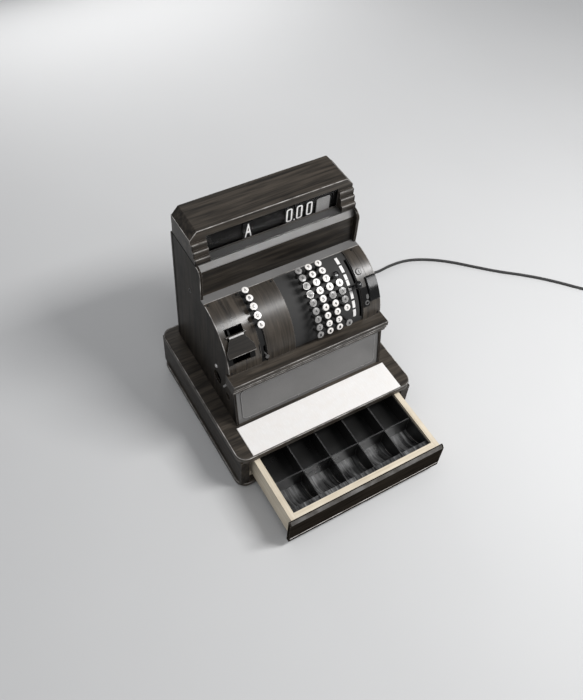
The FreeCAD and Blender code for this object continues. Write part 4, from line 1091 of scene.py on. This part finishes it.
def build_seams():
    seams = bmesh.new()
    for strip in (COVER_SEAM, COVER_SLIT):
        add_curved_strip(seams, *strip, COVER_RADIUS - SEAM_SUNK, COVER_RADIUS + SEAM_PROUD)
    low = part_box("hood_cover")[0]
    panel_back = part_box("left_side_panel")[1].y
    for x in (BODY_LEFT, BODY_RIGHT):
        hood = [Vector((x, y, low.z)) for y in (CHEEK_FRONT + CHEEK_ROUND, panel_back)]
        pan = [Vector((x, panel_back, z)) for z in (DECK + SEAM_FOOT, low.z)]
        runs = [hood, pan]
        inset = x * (1 - RIB_INSET_SHARE)
        for n in range(RIB_COUNT):
            foot = low.z + n * RIB_RISE
            runs.append([Vector((inset, low.y + n * RIB_STEP, z)) for z in (foot, foot + RIB_RISE)])
        for run in runs:
            add_line(seams, run, RIGHT, SEAM_HALF)
    piece("cover_seams", seams, TABLET_BLACK, CABINET)


def build_drawer_lines():
    """Lighter grey top bevel, and a pale line on the lower bead of the drawer front: the bead's line is
    a painted highlight on its upward face.
    """
    low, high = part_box("drawer_front")
    bevel = ("drawer_bevel", FRONT_BEVEL, high.z, BEVEL_GREY)
    # Painted highlight along the bead
    bead = ("drawer_bead_highlight", BEAD_DEPTH, low.z + BEAD_RISE, BEAD_HIGHLIGHT)
    for name, depth, top, material in (bevel, bead):
        middle = ((low.x + high.x) / 2, low.y + depth / 2, top - depth / 2)
        slope = facing(middle, UP - BACK, UP + BACK)
        face = depth * math.sqrt(2) - 2 * LINE_PROUD
        line = bmesh.new()
        add_slab(line, slope, high.x - low.x - 2 * FRONT_END, face, -LINE_SUNK, LINE_PROUD)
        piece(name, line, material, DRAWER)


def build_scoop_lines():
    """Bright lines along both edges of each coin scoop, from its rim down to the cup's floor: rubbed
    edges, and a painted highlight where the walls shade the scoop.
    """
    low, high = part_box("coin_scoops")
    half = high.x + TILL_WALL
    width = 2 * half / TILL_BAYS
    middle_y = low.y + SCOOP_RIM + SCOOP_RADIUS
    arc = [math.radians(90 * n / 12) for n in range(13)]
    bend = [(middle_y - SCOOP_RADIUS * math.cos(a), high.z - SCOOP_RADIUS * math.sin(a)) for a in arc]
    scoop_lines = bmesh.new()
    for n in range(TILL_BAYS):
        left = n * width - half + TILL_WALL + LINE_HALF
        for x in (left, left + width - 2 * (TILL_WALL + LINE_HALF)):
            add_line(scoop_lines, [Vector((x, y, z)) for y, z in bend], RIGHT, LINE_FINE)
    piece("scoop_rubbed_and_highlight", scoop_lines, SCOOP_RUBBED_AND_HIGHLIGHT, DRAWER)


def add_board_edge(lines, node, rounding):
    """Line round the top edge of a board with round corners, on the middle of its edge round."""
    low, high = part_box(node)
    inset = rounding * ROUND_INSET
    middle = (low + high) / 2
    size = high - low
    outline = round_outline(size.x - 2 * inset, size.y - 2 * inset, SLAB_CORNER - inset, 8)
    points = [Vector((middle.x + x, middle.y + y, high.z - inset)) for x, y in outline]
    add_line(lines, points, UP, LINE_HALF, True)


def add_hood_edges(lines):
    low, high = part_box("hood_cover")
    inset = HOOD_ROUND * ROUND_INSET
    bevel_x, bevel_z = HOOD_BEVEL
    rib_top = low.z + RIB_COUNT * RIB_RISE
    shoulder = high.z - bevel_z
    outline = []
    for side in (-1, 1):
        x = side * high.x
        slope = [(x, rib_top), (x, shoulder), (x - side * bevel_x, high.z - inset)]
        outline += slope if side < 0 else reversed(slope)
        rim = [Vector((x, y, shoulder)) for y in (HOOD_FRONT, high.y - HOOD_END)]
        add_line(lines, rim, RIGHT, LINE_FINE)
        for n in range(RIB_COUNT):
            y = low.y + n * RIB_STEP + RIB_BEVEL / 2
            z = low.z + (n + 1) * RIB_RISE - RIB_BEVEL / 2
            run = [Vector((side * end, y, z)) for end in (high.x - RIB_LENGTH, high.x)]
            add_line(lines, run, UP, LINE_FINEST)
    add_line(lines, [Vector((x, HOOD_FRONT + inset, z)) for x, z in outline], BACK, LINE_HALF)


def add_cheek_edges(lines):
    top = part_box("hood_cover")[0].z
    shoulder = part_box("keyboard_strip")[1].z
    for x in (BODY_LEFT, BODY_RIGHT):
        cheek = [Vector((x, CHEEK_FRONT, shoulder))]
        for n in range(7):
            a = math.radians(90 * n / 6)
            y = CHEEK_FRONT + CHEEK_ROUND * (1 - math.cos(a))
            cheek.append(Vector((x, y, top - CHEEK_ROUND * (1 - math.sin(a)))))
        add_line(lines, cheek, RIGHT, LINE_MIDDLE)
        rim = [on_keyboard(x, a, COVER_RADIUS).translation for a in range(6, 85, 3)]
        add_line(lines, rim, RIGHT, LINE_HALF)


def add_ledge_edges(lines):
    low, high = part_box("front_ledge")
    drop = (high.z - low.z) / 3
    inset = LEDGE_STEP * ROUND_INSET
    for y, z in ((inset, -inset), (0, -drop), (LEDGE_STEP, -2 * drop)):
        run = [Vector((x, low.y + y, high.z + z)) for x in (low.x, high.x)]
        add_line(lines, run, UP, LINE_MIDDLE)
    low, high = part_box("keyboard_strip")
    add_line(lines, [Vector((x, low.y, high.z)) for x in (low.x, high.x)], UP, LINE_FINE)


# Light lines on edges: rubbed paint, and a painted highlight where the edges catch the light
def build_rubbed_and_highlight_lines():
    lines = bmesh.new()
    add_board_edge(lines, "case_top", SLAB_ROUND)
    add_board_edge(lines, "case_bottom", BOARD_ROUND)
    add_hood_edges(lines)
    add_cheek_edges(lines)
    add_ledge_edges(lines)
    piece("rubbed_lines_and_highlight", lines, RUBBED_AND_HIGHLIGHT, CABINET)
    # The lid's lower edge: rubbed paint and a painted highlight
    low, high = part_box("receipt_lid")
    edge = on_keyboard(0, LID_ANGLE, LID_FACE) @ Vector((0, -LID_LENGTH, 0))
    line = bmesh.new()
    add_line(line, [Vector((x, edge.y, edge.z)) for x in (low.x, high.x)], UP, LINE_FINE)
    piece("lid_edge_rubbed_and_highlight", line, RUBBED_AND_HIGHLIGHT, LID)


# Camera, floor and light
def build_camera():
    data = bpy.data.cameras.new("photo_camera")
    data.sensor_fit = "VERTICAL"
    data.sensor_height = SENSOR
    data.lens = FOCAL_PIXELS * SENSOR / PHOTO_HEIGHT
    data.clip_end = CLIP_END
    camera = bpy.data.objects.new("photo_camera", data)
    bpy.context.scene.collection.objects.link(camera)
    away = CAMERA_RIGHT.cross(CAMERA_UP)
    turn = Matrix((CAMERA_RIGHT, CAMERA_UP, away)).transposed().to_4x4()
    camera.matrix_world = Matrix.Translation(CAMERA_AT) @ turn
    bpy.context.scene.camera = camera


def add_lamp(name, place, watts, width, depth, tilt):
    """Soft box, its width along x: it looks down, tilted to the back, or to the front if below 0."""
    data = bpy.data.lights.new(name, "AREA")
    data.shape = "RECTANGLE"
    data.energy = watts
    data.size = width
    data.size_y = depth
    lamp = bpy.data.objects.new(name, data)
    bpy.context.scene.collection.objects.link(lamp)
    lamp.location = place
    lamp.rotation_euler = (math.radians(tilt), 0, 0)


def build_stage():
    mesh = bpy.data.meshes.new("floor")
    corners = [(x * FLOOR_HALF, y * FLOOR_HALF, 0) for x, y in ((-1, -1), (1, -1), (1, 1), (-1, 1))]
    mesh.from_pydata(corners, [], [(0, 1, 2, 3)])
    floor = bpy.data.objects.new("floor", mesh)
    bpy.context.scene.collection.objects.link(floor)
    mesh.materials.append(matt("floor_pale", FLOOR_TONE))
    world = bpy.data.worlds.new("soft_studio")
    world.use_nodes = True
    sky = world.node_tree.nodes["Background"]
    sky.inputs["Color"].default_value = WORLD_COLOUR
    sky.inputs["Strength"].default_value = WORLD_STRENGTH
    bpy.context.scene.world = world
    for name, lamp in LAMPS.items():
        add_lamp(name, *lamp)


bpy.context.scene.view_settings.view_transform = "Standard"
build_camera()
build_stage()
paint_nodes()
build_cord()
build_tie()
build_key_tops()
build_tablet_marks()
build_window_inside()
build_tabs()
build_locks()
build_field_line()
build_screws()
build_side_knob()
build_seams()
build_outlet_shade_strips()
build_guard()
build_drawer_lines()
build_scoop_lines()
build_rubbed_and_highlight_lines()
build_hinge_strip()
